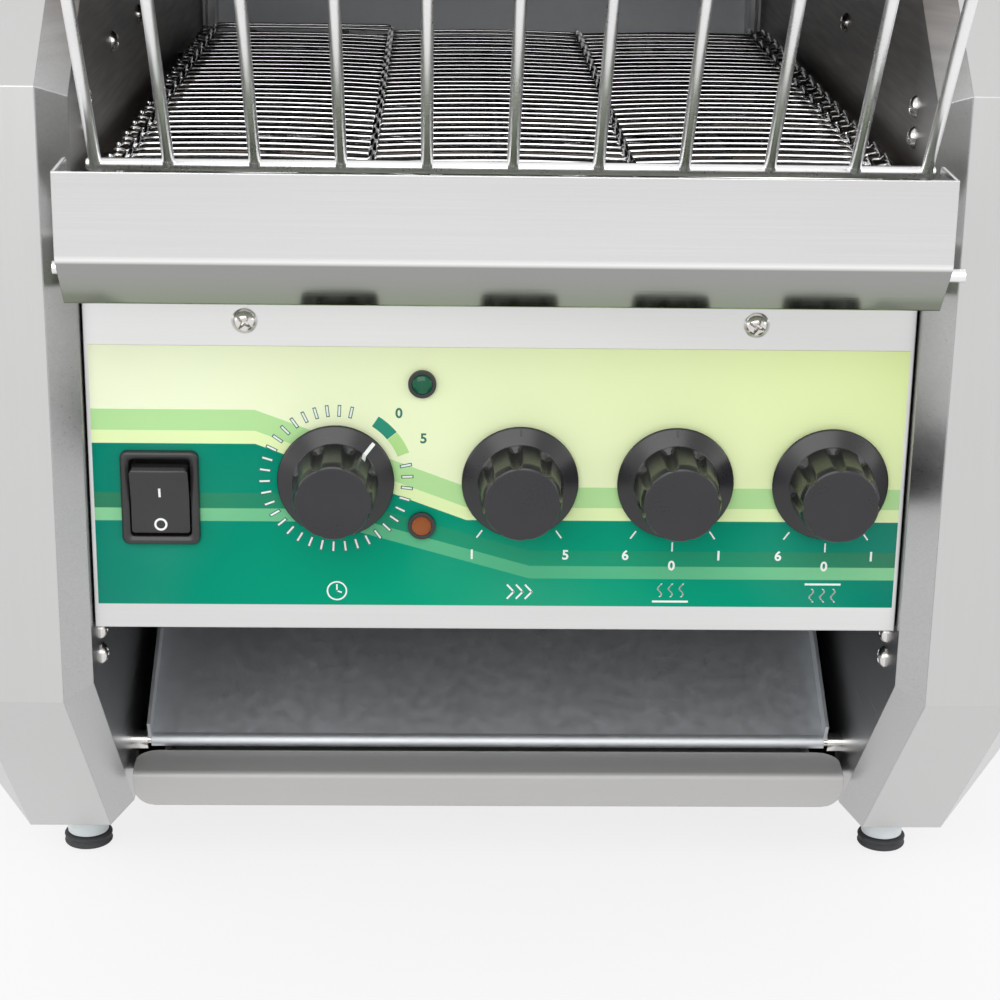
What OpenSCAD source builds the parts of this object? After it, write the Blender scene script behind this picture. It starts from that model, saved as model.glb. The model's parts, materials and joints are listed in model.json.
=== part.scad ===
// Counter-top conveyor toaster. Bread is laid on a sloping wire rack, rides through
// the hood on a wire-link belt between two banks of heaters, drops off the back of
// the belt and slides forward down a chute to the landing lip under the controls.
//
// Frame: +X right, +Y back, +Z up, millimetres. The origin is on the surface that
// the toaster stands on, under the middle of the whole machine.
// Inside the modules y = 0 is the face of the control panel.

/* [Cabinet] */
// Depth of the side housings, front face to back face
housing_depth = 450; // [440:1:480]
// Width of one side housing
housing_w = 61.4; // [58:0.1:70]
// How far the side housings stand in front of the control panel
housing_lead = 14; // [12:0.5:18]
// Height of the housings' upright front face
front_face_h = 203; // [200:1:212]
// Rise and run of the 45 degree slope at the front leg
leg_slope = 90; // [84:1:96]
// Rise and run of the 45 degree slope at the back leg
back_leg_slope = 50; // [44:1:56]
// Slope of the brow above the front face, in degrees
brow_angle = 37.5; // [36:0.5:40]
// Height of the housings above the feet
housing_h = 397; // [392:1:412]
// Rise and run of the bevel along the top back edge
top_back_bevel = 36; // [30:1:42]
// Width of the bevel round the inner face of each housing
inner_bevel = 8.8; // [6:0.1:10]
// Width of the bevel round the outer face of each housing
outer_bevel_w = 22.5; // [18:0.5:26]
// How far that outer bevel draws in the outline
outer_bevel_in = 27; // [22:0.5:30]
// Thickness of the cabinet sheet
sheet_t = 1.2; // [0.9:0.1:1.5]

/* [Belt] */
// Width of the wire belt
belt_w = 260.4; // [240:0.2:270]
// Gap between the belt's edge and the inner wall
belt_side_gap = 4; // [4:0.1:9]
// Height of the belt's carrying surface above the control panel
belt_rise = 37; // [35:0.5:42]
// Width of the belt's middle lane, between two rows of hooks
belt_lane = 84.7; // [76:0.1:90]
// Distance from one strand to the next
belt_pitch = 10.6; // [10.2:0.1:10.8]
// Least room behind the drive shaft, up to the back of the housings
drive_room = 85; // [82:1:110]
// Diameter of the belt wire
belt_wire_d = 1.4; // [1.2:0.1:1.6]
// Clearance inside each hooked link
link_gap = 0.15; // [0.1:0.05:0.25]
// Gap between the belt's front turn and the control panel face
belt_nose_gap = 0.6; // [0.4:0.1:2]
// Diameter of the belt shafts
shaft_d = 12.7; // [10:0.1:14]
// Width of each belt sprocket
sprocket_w = 4; // [3:0.5:6]

/* [Controls] */
// Gap between the control panel and each inner wall
panel_side_gap = 0.7; // [0.5:0.1:3]
// Height of the panel's bottom edge above the table
panel_low = 127.6; // [124:0.2:130]
// Height of the control panel
panel_h = 115.4; // [112:0.2:117]
// Height of the printed label
label_h = 88.7; // [86:0.1:92]
// Gap between the label and the panel's bottom edge
label_low = 8.4; // [6:0.1:10]
// Gap between the label and each end of the panel
label_inset = 1.3; // [0.8:0.1:3]
// Thickness of the label
label_t = 0.3; // [0.2:0.05:0.5]
// Height of the row of knobs above the panel's bottom edge
knob_row = 52.4; // [50:0.2:54]
// How far the timer knob sits to the left of midway between the switch and the speed knob
timer_offset = 1.4; // [0:0.1:3]
// Distance of the last knob from the panel's right end
knob_inset = 25; // [23:0.1:28]
// Spacing of the speed knob and the two heat knobs
knob_pitch = 50.8; // [48:0.2:52]
// Diameter of a knob's skirt
knob_skirt_d = 38.2; // [34:0.2:40]
// Diameter of a knob's fluted grip
knob_grip_d = 27.6; // [24:0.2:30]
// How far a knob stands out from its skirt's back edge
knob_h = 23; // [20:0.5:26]
// Diameter of the control shafts
control_shaft_d = 6; // [5:0.1:6.4]
// Distance of the power switch from the panel's left end
switch_inset = 23; // [18:0.5:27]
// How far the switch sits below the row of knobs
switch_drop = 6.5; // [4:0.5:9]
// Width of the power switch's flange
switch_w = 25.5; // [24:0.5:27]
// Height of the power switch's flange
switch_h = 32; // [30:0.5:34]
// Diameter of the pilot lamps
lamp_d = 9.1; // [8:0.1:10]
// How far the pilot lamps sit to the left of midway between the timer and the speed knob
lamp_offset = 2.05; // [0:0.05:3]
// Height of the upper lamp above the row of knobs
upper_lamp_rise = 32.7; // [30:0.2:34]
// Depth of the lower lamp below the row of knobs
lower_lamp_drop = 15.6; // [14:0.2:18]

/* [Rack and guard] */
// Number of wires in the loading rack
rack_wires = 11; // [9:2:13]
// Diameter of the rack's wires
rack_wire_d = 3.5; // [3:0.1:4]
// Diameter of the rack's cross bars
rack_bar_d = 4; // [3.6:0.1:4.6]
// Gap between the rack's outer wires and the inner walls
rack_side_gap = 7.7; // [7:0.1:10]
// How far the rack sits to the right of the middle, in the play that the guard leaves it
rack_shift = 2.2; // [-2:0.1:2.4]
// How far the rack's lower bar sits behind the guard's face
rack_bar_back = 21; // [20:0.5:24]
// Spacing of the rack's inner wires
rack_pitch = 26.06; // [20:0.02:26.4]
// Slope of the rack, in degrees
rack_angle = 53; // [50:0.5:56]
// Length of the rack's wires
rack_len = 150; // [130:1:170]
// Height of the guard in front of the belt
guard_h = 43.5; // [41:0.5:45]
// Depth of the guard, front to back
guard_depth = 39.5; // [38:0.5:44]
// How far the guard's front stands in front of the control panel
guard_lead = 42.5; // [42:0.5:46]
// Diameter of the cross rod in the guard
guard_rod_d = 4; // [3.5:0.1:4.5]

/* [Chute and tray] */
// Slope of the toast chute, in degrees
chute_angle = 28; // [26:0.5:29]
// Height of the chute's front edge above the table
chute_low = 48; // [47:0.5:50]
// Distance of the chute's front edge behind the panel
chute_front = 84; // [83:0.5:88]
// Gap between the chute's floor and each inner wall
chute_side_gap = 6.9; // [5:0.1:9]
// Gap between the landing lip and each inner wall
lip_side_gap = 2.2; // [1.5:0.1:5]
// Height of the lip's front face
lip_h = 13; // [12:0.5:14]
// Depth of the lip's top strip
lip_strip = 18; // [16:0.5:19]

/* [Heating] */
// Diameter of the heater rods
heater_d = 8; // [6.5:0.1:9]
// Number of heater rods above the belt
upper_heaters_n = 4; // [3:1:4]
// Number of heater rods inside the belt's loop
lower_heaters_n = 4; // [3:1:4]
// Spacing of the heater rods inside the belt's loop
heater_pitch = 70; // [64:1:72]
// How far the hood comes down from the top of the housings
hood_drop = 57; // [53:1:60]

/* [Feet] */
// Height of the feet
foot_h = 16; // [15:0.5:20]
// Diameter of the feet's upper collar
foot_d = 16.5; // [14:0.5:18]
// Diameter of the rubber pads
pad_d = 18.4; // [18:0.1:22]
// Distance of the back feet in front of the back leg's slope
back_foot_inset = 41; // [14:1:60]

/* [Hidden] */

steel = "silver";
bright_steel = "gainsboro";
dull_steel = "dimgray";
black_plastic = [0.06, 0.06, 0.06];

fit_gap = 0.05;            // radial clearance of every turning shaft in its hole
slide_gap = 0.4;           // clearance round pieces that lift off
rest_gap = 0.2;            // gap under the sliding tray

// Cabinet
chamber_w = belt_w + 2 * belt_side_gap;
wall_x = chamber_w / 2;
crease_x = wall_x + inner_bevel;
half_w = wall_x + housing_w;
bevel_x = half_w - outer_bevel_w;
housing_front = -housing_lead;
housing_back = housing_front + housing_depth;
housing_top = foot_h + housing_h;
face_low = foot_h + leg_slope;
face_high = face_low + front_face_h;
brow_run = (housing_top - face_high) / tan(brow_angle);
// Outline of a side housing in (y, z), anticlockwise from the front leg
outline = [
  [housing_front + leg_slope, foot_h],
  [housing_back - back_leg_slope, foot_h],
  [housing_back, foot_h + back_leg_slope],
  [housing_back, housing_top - top_back_bevel],
  [housing_back - top_back_bevel, housing_top],
  [housing_front + brow_run, housing_top],
  [housing_front, face_high],
  [housing_front, face_low]
];

// Belt loop
sprocket_teeth = 12;
step_angle = 360 / sprocket_teeth;
panel_high = panel_low + panel_h;
belt_top = panel_high + belt_rise;
belt_pitch_r = belt_pitch / (2 * sin(step_angle / 2));
shaft_z = belt_top - belt_wire_d / 2 - belt_pitch_r;
guard_front = -guard_lead;
guard_back = guard_front + guard_depth;
idler_y = guard_back + 3 + belt_nose_gap + belt_pitch_r + belt_wire_d / 2;
run_links = floor((housing_back - drive_room - idler_y) / belt_pitch);
belt_run = run_links * belt_pitch;
drive_y = idler_y + belt_run;
belt_low = shaft_z - belt_pitch_r - belt_wire_d / 2;
eye_r = belt_wire_d / 2 + link_gap;
eye_outer_r = eye_r + belt_wire_d;
hook_offset = belt_wire_d / 2 + link_gap;
hook_edge_x = belt_w / 2 - belt_wire_d / 2 - hook_offset;
sprocket_xs = [-1.25, -0.75, -0.25, 0.25, 0.75, 1.25] * belt_lane;

// Controls
panel_w = chamber_w - 2 * panel_side_gap;
knob_z = panel_low + knob_row;
switch_x = switch_inset - panel_w / 2;
bottom_heat_x = panel_w / 2 - knob_inset;
top_heat_x = bottom_heat_x - knob_pitch;
speed_x = top_heat_x - knob_pitch;
timer_x = (switch_x + speed_x) / 2 - timer_offset;
lamp_x = (timer_x + speed_x) / 2 - lamp_offset;
bushing_d = control_shaft_d + 3.2;
skirt_gap = 2;             // between the panel face and a knob's skirt
upper_lamp_z = knob_z + upper_lamp_rise;
lower_lamp_z = knob_z - lower_lamp_drop;
switch_z = knob_z - switch_drop;
panel_screw_x = 82;
panel_screw_d = 8.3;
panel_screw_z = panel_high - 10;
control_box_depth = 150;

// Rack and guard
guard_low = panel_high + 2;
guard_high = guard_low + guard_h;
guard_w = chamber_w + 0.6;         // the part in front of the housings
guard_neck_y = housing_front + 2;  // behind this the guard is narrower and goes between the walls
guard_ear_x = wall_x - 0.8;
guard_bend_z = guard_low + 17;
guard_end_d = 23;          // depth of the guard's ends along their top edge
rack_w = chamber_w - 2 * rack_side_gap;
rack_bar_y = guard_front + rack_bar_back;
rack_bar_z = guard_high - 1.5;
rack_tip_y = rack_bar_y - rack_len * cos(rack_angle);
rack_tip_z = rack_bar_z + rack_len * sin(rack_angle);
guard_pin_y = guard_back + 4;
guard_pin_z = belt_top - 14;
guard_pin_d = 5;

// Chute and tray
chute_w = chamber_w - 2 * chute_side_gap;
lip_w = chamber_w - 2 * lip_side_gap;
chute_screw_rise = 5.5;    // chute screws above the floor of the chute
chute_screw_y = drive_y - 50;
chute_screw_z = chute_low + (chute_screw_y - chute_front) * tan(chute_angle) + chute_screw_rise;
chute_stud_d = 3;          // studs in the ends of the chute's rolled front edge
lip_front = chute_front - 4 - lip_strip;
lip_high = chute_low - 3.6;
tray_floor = lip_high - lip_h + 5;
tray_depth = housing_back - 34 - lip_front;
chute_back = housing_back - inner_bevel - sheet_t - 3;

// Heating
hood_z = housing_top - hood_drop;
upper_heater_z = hood_z + 4;

// Motor drive
chain_pitch = 9.525;
chain_r = chain_pitch / (2 * sin(step_angle / 2));
chain_links = 11;
chain_x = wall_x + sheet_t + 9;
motor_z = shaft_z - chain_links * chain_pitch;
roller_d = 5;
motor_shaft_d = 8;
bracket_x = chain_x + 7;

foot_x = wall_x + housing_w * 0.33;
foot_front_y = housing_front + leg_slope + 19;
foot_back_y = housing_back - back_leg_slope - back_foot_inset;

// Cord gland at the back of the right housing
gland_d = 16;
gland_out = 12;
gland_bore_d = 9;
gland_x = (crease_x + bevel_x) / 2;
gland_z = foot_h + housing_h / 4;

// The origin lies midway between the rack's tip and the back of the gland
machine_front = rack_tip_y - rack_bar_d / 2;
machine_back = housing_back + gland_out;
shift_y = -(machine_front + machine_back) / 2;

// ---- helpers ----

module in_frame() {
  translate([0, shift_y, 0]) children();
}

// The same piece on both sides of the machine
module both_sides() {
  for (side = [0, 1]) mirror([side, 0, 0]) children();
}

// A profile in (y, z), carried a width w along x about the middle
module across(w) {
  rotate([90, 0, 90]) linear_extrude(w, center = true) children();
}

// A profile in (y, z), carried from x = from to x = to
module between(from, to) {
  translate([from, 0, 0]) rotate([90, 0, 90]) linear_extrude(to - from) children();
}

// A round bar along x
module bar_x(from, to, d, y, z) {
  translate([from, y, z]) rotate([0, 90, 0]) cylinder(h = to - from, d = d, $fn = 48);
}

// A round bar along y
module bar_y(from, to, d, x, z) {
  translate([x, from, z]) rotate([-90, 0, 0]) cylinder(h = to - from, d = d, $fn = 48);
}

function unit(v) = v / norm(v);
function toward(a, b, d) = a + d * unit(b - a);
function left_of(v) = [-v.y, v.x];
function arc(centre, r, from, to, n) =
  [for (i = [0 : n]) centre + r * [cos(from + (to - from) * i / n), sin(from + (to - from) * i / n)]];

// Each corner moved inwards so that both its edges shift by d
function corner_shift(before, corner, after, d) =
  let (n1 = left_of(unit(corner - before)), n2 = left_of(unit(after - corner)))
  corner + d * (n1 + n2) / (1 + n1 * n2);
function inset(points, d) =
  [for (i = [0 : len(points) - 1])
    corner_shift(points[(i + len(points) - 1) % len(points)], points[i], points[(i + 1) % len(points)], d)];
function line_shift(points, d) =
  [for (i = [0 : len(points) - 1])
    i == 0 ? points[0] + d * left_of(unit(points[1] - points[0])) :
    i == len(points) - 1 ? points[i] + d * left_of(unit(points[i] - points[i - 1])) :
    corner_shift(points[i - 1], points[i], points[i + 1], d)];
function reversed(points) = [for (i = [len(points) - 1 : -1 : 0]) points[i]];

// A folded sheet of thickness t, laid to the left of the line through points
module folded(points, t) {
  polygon(concat(points, reversed(line_shift(points, t))));
}

// A closed body through rings of the housing outline: each ring is [x, inset]
module lofted(rings) {
  n = len(outline);
  points = [for (ring = rings) for (p = inset(outline, ring[1])) [ring[0], p.x, p.y]];
  low_cap = [for (i = [0 : n - 1]) i];
  high_cap = [for (i = [n - 1 : -1 : 0]) (len(rings) - 1) * n + i];
  sides = [for (j = [0 : len(rings) - 2]) for (i = [0 : n - 1])
    [j * n + i, (j + 1) * n + i, (j + 1) * n + (i + 1) % n, j * n + (i + 1) % n]];
  polyhedron(points, concat([low_cap], sides, [high_cap]));
}

// Place of member k of an endless loop round two equal wheels: [y, z, turn].
// The loop starts at the top of the front wheel and runs back over the top.
function loop_place(k, links, pitch, r, teeth) =
  let (half = teeth / 2, turn = 360 / teeth, run = links * pitch)
  k < links ? [k * pitch, r, 0] :
  k < links + half ?
    [run + r * sin((k - links) * turn), r * cos((k - links) * turn), -(k - links + 0.5) * turn] :
  k < 2 * links + half ? [run - (k - links - half) * pitch, -r, -180] :
    [-r * sin((k - 2 * links - half) * turn), -r * cos((k - 2 * links - half) * turn),
     -180 - (k - 2 * links - half + 0.5) * turn];

// A toothed wheel in (y, z) under a belt or chain of members at radius r. The members stay
// where they are while the wheel turns, so its teeth end a small gap inside them.
module toothed_outline(r, member_d, teeth) {
  tip_r = r - member_d / 2 - 0.35;
  root_r = tip_r * 0.84;
  space = sin(180 / teeth);
  // half of one tooth: how far out and how far to the side each corner is
  half_tooth = [[root_r, root_r * space * 0.66], [tip_r * 0.96, tip_r * space * 0.4],
                [tip_r, tip_r * space * 0.2]];
  polygon([for (i = [0 : teeth - 1])
    let (a = (i + 0.5) * 360 / teeth, outward = [sin(a), cos(a)], sideways = [cos(a), -sin(a)])
    each concat(
      [for (c = half_tooth) outward * c[0] - sideways * c[1]],
      [for (c = reversed(half_tooth)) outward * c[0] + sideways * c[1]])]);
}

// A domed screw head on a short shank, pointing along -z, with its seat at z = 0
module screw(head_d, head_h, shank_d, shank) {
  crown = head_d * 0.12;
  cylinder(h = head_h - crown, d = head_d, $fn = 40);
  translate([0, 0, head_h - crown])
    rotate_extrude($fn = 40)
      polygon([[0, 0], [head_d / 2, 0], [head_d * 0.4, crown * 0.7], [head_d * 0.2, crown], [0, crown]]);
  translate([0, 0, -shank]) cylinder(h = shank, d = shank_d, $fn = 24);
}

// ---- cabinet ----

vent_slots = 9;
vent_pitch = 12;
vent_w = 4;
vent_l = 70;

module housing() {
  w = outer_bevel_w;
  slant = norm([outer_bevel_w, outer_bevel_in]);
  difference() {
    lofted([[crease_x, 0], [bevel_x, 0], [half_w, outer_bevel_in]]);
    lofted([
      [crease_x - 1, sheet_t],
      [bevel_x + sheet_t * (w - slant) / outer_bevel_in, sheet_t],
      [half_w - sheet_t, outer_bevel_in + sheet_t * (slant - outer_bevel_in) / w]
    ]);
    // cooling slots low on the outer side
    for (i = [0 : vent_slots - 1])
      translate([half_w - 2 * sheet_t, housing_front + 150 + i * vent_pitch, foot_h + 60])
        cube([3 * sheet_t, vent_w, vent_l]);
    // hole for each foot's stud
    for (y = [foot_front_y, foot_back_y])
      translate([foot_x, y, foot_h - 1]) cylinder(h = 2 + sheet_t, d = stud_d, $fn = 32);
  }
}

module left_housing() {
  color(steel) in_frame() mirror([1, 0, 0]) housing();
}

module right_housing() {
  color(steel) in_frame() difference() {
    housing();
    bar_y(housing_back - 5, housing_back + 5, gland_d, gland_x, gland_z);
  }
}

wall_flange = 5;
bush_d = shaft_d + 8;
wall_screw_d = 7.4;
wall_screws_at = [
  [96, belt_top + 27.6], [170, belt_top + 27.6], [28, belt_top + 19], [28, belt_top + 9],
  [15, panel_low - 6.6], [15, panel_low - 15.6]
];
rail_ties = [idler_y + 45, drive_y - 45];

module inner_wall() {
  b = inner_bevel;
  difference() {
    union() {
      lofted([[wall_x, b], [crease_x, 0]]);
      lofted([[crease_x - 0.5, sheet_t], [crease_x + wall_flange, sheet_t]]);
    }
    lofted([
      [wall_x + sheet_t, b + sheet_t * (sqrt(2) - 1)],
      [crease_x - sheet_t * (2 - sqrt(2)), 2 * sheet_t],
      [crease_x + wall_flange + 1, 2 * sheet_t]
    ]);
    for (y = [idler_y, drive_y]) bar_x(wall_x - 1, wall_x + 3, bush_d, y, shaft_z);
    for (at = heater_places) bar_x(wall_x - 1, wall_x + 3, heater_bush_d, at.x, at.y);
    for (at = wall_screws_at) bar_x(wall_x - 1, wall_x + 3, screw_shank_d, at.x, at.y);
    bar_x(wall_x - 1, wall_x + 3, screw_shank_d, chute_screw_y, chute_screw_z);
    bar_x(wall_x - 1, wall_x + 3, chute_stud_d, chute_front, chute_low);
    bar_x(wall_x - 1, wall_x + 3, guard_pin_d, guard_pin_y, guard_pin_z);
  }
}

module left_inner_wall() {
  color(steel) in_frame() mirror([1, 0, 0]) inner_wall();
}

module right_inner_wall() {
  color(steel) in_frame() inner_wall();
}

screw_shank_d = 4;
cover_line = inset(outline, inner_bevel);
brow_top = cover_line[5];
hood_y = brow_top.x - (brow_top.y - hood_z) / tan(brow_angle);
hood_return = 12;
cover_flange = 12;
// The two covers stop short of the corner where they meet, so that their folds don't cross
cover_gap = 0.15;
sheet_mitre = sheet_t * tan(22.5) + cover_gap;
flange_mitre = cover_flange * tan(22.5) + cover_gap;

// Side flange of a cover, against the inner wall
module cover_ends(points) {
  both_sides() between(wall_x - sheet_t, wall_x) folded(points, cover_flange);
}

module top_cover() {
  corner = cover_line[3];
  back = cover_line[4];
  line = [toward(corner, back, sheet_mitre), back, brow_top,
          [hood_y, hood_z], [hood_y + hood_return, hood_z]];
  color(steel) in_frame() difference() {
    union() {
      across(chamber_w) folded(line, sheet_t);
      cover_ends([toward(corner, back, flange_mitre), back, brow_top]);
    }
    for (x = cover_screw_xs)
      translate([x, cover_screw_y, housing_top - 20]) cylinder(h = 30, d = screw_shank_d, $fn = 24);
  }
}

cover_screw_xs = [-110, 110];
cover_screw_y = cover_line[4].x - 14;
rear_screw_zs = [foot_h + 90, housing_top - 60];
rear_cover_low = tray_floor + 5.6;   // just clears the tray as it slides
rear_slots = 8;
rear_slot_w = chamber_w * 0.6;

module rear_cover() {
  low = cover_line[1];
  corner = cover_line[2];
  foot = [corner.x - (corner.y - rear_cover_low), rear_cover_low];
  high = cover_line[3];
  line = [foot, corner, toward(high, corner, sheet_mitre)];
  color(steel) in_frame() difference() {
    union() {
      across(chamber_w) folded(line, sheet_t);
      cover_ends([corner, toward(high, corner, flange_mitre)]);
    }
    // louvre slots near the top
    for (i = [0 : rear_slots - 1])
      translate([-rear_slot_w / 2, housing_back - 30, housing_top - 70 - i * 9])
        cube([rear_slot_w, 40, 3]);
    for (x = cover_screw_xs, z = rear_screw_zs)
      bar_y(housing_back - 30, housing_back + 5, screw_shank_d, x, z);
  }
}

module cover_screws() {
  color(bright_steel) in_frame() {
    for (x = cover_screw_xs)
      translate([x, cover_screw_y, cover_line[4].y]) screw(wall_screw_d, 2.2, screw_shank_d, 6);
    for (x = cover_screw_xs, z = rear_screw_zs)
      translate([x, cover_line[2].x, z]) rotate([-90, 0, 0]) screw(wall_screw_d, 2.2, screw_shank_d, 6);
  }
}

module wall_screws() {
  color(bright_steel) in_frame() both_sides()
    for (at = wall_screws_at)
      translate([wall_x, at.x, at.y]) rotate([0, -90, 0]) screw(wall_screw_d, 2.4, screw_shank_d, 6);
}

// ---- control panel ----

lip_fold = 12;

module panel_holes(from, to) {
  for (x = [timer_x, speed_x, top_heat_x, bottom_heat_x])
    bar_y(from, to, bushing_d, x, knob_z);
  for (z = [upper_lamp_z, lower_lamp_z]) bar_y(from, to, lamp_d - 1.2, lamp_x, z);
  translate([switch_x - switch_w / 2 + 1.5, from, switch_z - switch_h / 2 + 1.5])
    cube([switch_w - 3, to - from, switch_h - 3]);
}

module control_panel() {
  line = [[0, panel_high], [0, panel_low], [lip_fold, panel_low]];
  color(bright_steel) in_frame() difference() {
    across(panel_w) folded(line, sheet_t);
    panel_holes(-1, sheet_t + 1);
    for (x = [-panel_screw_x, panel_screw_x])
      bar_y(-1, sheet_t + 1, screw_shank_d, x, panel_screw_z);
  }
}

module panel_label() {
  w = panel_w - 2 * label_inset;
  color("mediumseagreen") in_frame() difference() {
    translate([-w / 2, -label_t, panel_low + label_low]) cube([w, label_t, label_h]);
    panel_holes(-1, 1);
    // a label that reaches the panel's screws is cut round their heads
    for (x = [-panel_screw_x, panel_screw_x])
      bar_y(-1, 1, panel_screw_d + 0.8, x, panel_screw_z);
  }
}

module panel_screws() {
  color(bright_steel) in_frame()
    for (x = [-panel_screw_x, panel_screw_x])
      translate([x, 0, panel_screw_z]) rotate([90, 0, 0]) screw(panel_screw_d, 2.6, screw_shank_d, 8);
}

module control_box() {
  front = sheet_t;
  low = panel_low + sheet_t;
  high = panel_high - sheet_t;
  box_top = belt_low - 11;
  line = [[front, low], [control_box_depth, low], [control_box_depth, box_top], [lip_fold + 14, box_top]];
  color(dull_steel) in_frame() union() {
    across(chamber_w) folded(line, sheet_t);
    // ears that carry the panel screws
    for (x = [-panel_screw_x, panel_screw_x])
      difference() {
        translate([x - 8, front, high - 18]) cube([16, sheet_t, 18]);
        bar_y(0, 5, screw_shank_d, x, panel_screw_z);
      }
    // bracket from each ear back to the box's top
    for (x = [-panel_screw_x, panel_screw_x])
      translate([x - 8, front, box_top - sheet_t]) cube([16, lip_fold + 15 - front, sheet_t]);
    for (x = [-panel_screw_x, panel_screw_x])
      translate([x - 8, front, box_top - sheet_t]) cube([16, sheet_t, high - 18 - box_top + 2 * sheet_t]);
  }
}

// ---- belt and its drive ----

// Side view of the hooked link that ties one strand to the next
module hook_profile() {
  difference() {
    translate([belt_pitch, 0]) circle(r = eye_outer_r, $fn = 24);
    translate([belt_pitch, 0]) circle(r = eye_r, $fn = 24);
    translate([belt_pitch - 2 * eye_outer_r, -2 * eye_outer_r])
      square([2 * eye_outer_r, 2 * eye_outer_r + eye_r / 2]);
  }
  polygon([
    [belt_pitch, eye_r], [belt_pitch * 0.6, eye_r], [0, -belt_wire_d * 0.45],
    [0, belt_wire_d * 0.45], [belt_pitch * 0.55, eye_outer_r], [belt_pitch, eye_outer_r]
  ]);
}

// One strand: a wire across the belt with four hooks that reach round the next wire.
// Hooks on neighbouring strands stand side by side, so the side changes each time.
module strand(side) {
  bar_x(-belt_w / 2, belt_w / 2, belt_wire_d, 0, 0);
  for (x = [-hook_edge_x, -belt_lane / 2, belt_lane / 2, hook_edge_x])
    translate([x + side * hook_offset - belt_wire_d / 2, 0, 0])
      rotate([90, 0, 90]) linear_extrude(belt_wire_d) hook_profile();
}

module wire_belt() {
  strands = 2 * run_links + sprocket_teeth;
  color(bright_steel) in_frame() translate([0, idler_y, shaft_z])
    for (k = [0 : strands - 1]) {
      at = loop_place(k, run_links, belt_pitch, belt_pitch_r, sprocket_teeth);
      translate([0, at[0], at[1]]) rotate([at[2], 0, 0]) strand(k % 2 == 0 ? -1 : 1);
    }
}

rail_d = 5;
tie_d = 6;

module belt_rails() {
  rail_z = belt_top - belt_wire_d - rail_d / 2 - link_gap;
  tie_z = rail_z - rail_d / 2 - tie_d / 2 + 0.6;
  color(dull_steel) in_frame() {
    for (x = [-1, 0, 1] * belt_lane * 0.9)
      bar_y(rail_ties[0] - 12, rail_ties[1] + 12, rail_d, x, rail_z);
    for (y = rail_ties) bar_x(-wall_x, wall_x, tie_d, y, tie_z);
  }
}

module shaft_bushes() {
  flange_d = bush_d + 5;
  color("goldenrod") in_frame() both_sides()
    for (y = [idler_y, drive_y])
      difference() {
        union() {
          bar_x(wall_x - 2, wall_x, flange_d, y, shaft_z);
          bar_x(wall_x - 2, wall_x + 5, bush_d, y, shaft_z);
        }
        bar_x(wall_x - 3, wall_x + 6, shaft_d + 2 * fit_gap, y, shaft_z);
      }
}

module drive_shaft() {
  color("gray") in_frame() bar_x(-wall_x - 6, chain_x + 6, shaft_d, drive_y, shaft_z);
}

module idler_shaft() {
  color("gray") in_frame() bar_x(-wall_x - 6, wall_x + 6, shaft_d, idler_y, shaft_z);
}

belt_hub_d = shaft_d * 1.6;

module drive_sprockets() {
  color("gray") in_frame() difference() {
    for (x = sprocket_xs)
      translate([0, drive_y, shaft_z]) {
        between(x - sprocket_w / 2, x + sprocket_w / 2)
          toothed_outline(belt_pitch_r, belt_wire_d, sprocket_teeth);
        bar_x(x - sprocket_w * 1.25, x + sprocket_w * 1.25, belt_hub_d, 0, 0);
      }
    bar_x(-wall_x, wall_x, shaft_d, drive_y, shaft_z);
  }
}

module idler_rollers() {
  roller_r = belt_pitch_r * cos(step_angle / 2) - belt_wire_d / 2 - 0.4;
  color("gray") in_frame() difference() {
    for (x = sprocket_xs) {
      bar_x(x - sprocket_w / 2, x + sprocket_w / 2, 2 * roller_r, idler_y, shaft_z);
      bar_x(x - sprocket_w * 1.25, x + sprocket_w * 1.25, belt_hub_d, idler_y, shaft_z);
    }
    bar_x(-wall_x, wall_x, shaft_d, idler_y, shaft_z);
  }
}

chain_wheel_w = 2.8;

module chain_wheel(bore_d, z) {
  difference() {
    translate([0, drive_y, z]) {
      between(chain_x - chain_wheel_w / 2, chain_x + chain_wheel_w / 2)
        toothed_outline(chain_r, roller_d, sprocket_teeth);
      bar_x(chain_x - 4.5, chain_x + chain_wheel_w / 2, bore_d + 7, 0, 0);
    }
    bar_x(chain_x - 10, chain_x + 10, bore_d, drive_y, z);
  }
}

module shaft_chain_sprocket() {
  color("gray") in_frame() chain_wheel(shaft_d, shaft_z);
}

module motor_sprocket() {
  color("gray") in_frame() chain_wheel(motor_shaft_d, motor_z);
}

plate_t = 0.9;
plate_d = 6.5;
pin_d = 2.5;
chain_inner_w = chain_wheel_w + 0.8;

// One side plate of a chain link, with its middle at x
module link_plate(x) {
  translate([x, 0, 0]) across(plate_t) {
    circle(d = plate_d, $fn = 24);
    translate([chain_pitch, 0]) circle(d = plate_d, $fn = 24);
    translate([0, -plate_d * 0.31]) square([chain_pitch, plate_d * 0.62]);
  }
}

// Two inner plates joined by two rollers, bored for the pins
module inner_link() {
  difference() {
    union() {
      for (side = [-1, 1]) link_plate(side * (chain_inner_w + plate_t) / 2);
      for (y = [0, chain_pitch]) bar_x(-chain_inner_w / 2, chain_inner_w / 2, roller_d, y, 0);
    }
    for (y = [0, chain_pitch]) bar_x(-chain_inner_w, chain_inner_w, pin_d + 2 * fit_gap, y, 0);
  }
}

// Two outer plates on two pins
module outer_link() {
  reach = chain_inner_w / 2 + plate_t + fit_gap;
  for (side = [-1, 1]) link_plate(side * (reach + plate_t / 2));
  for (y = [0, chain_pitch]) bar_x(-reach - plate_t - 0.4, reach + plate_t + 0.4, pin_d, y, 0);
}

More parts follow.
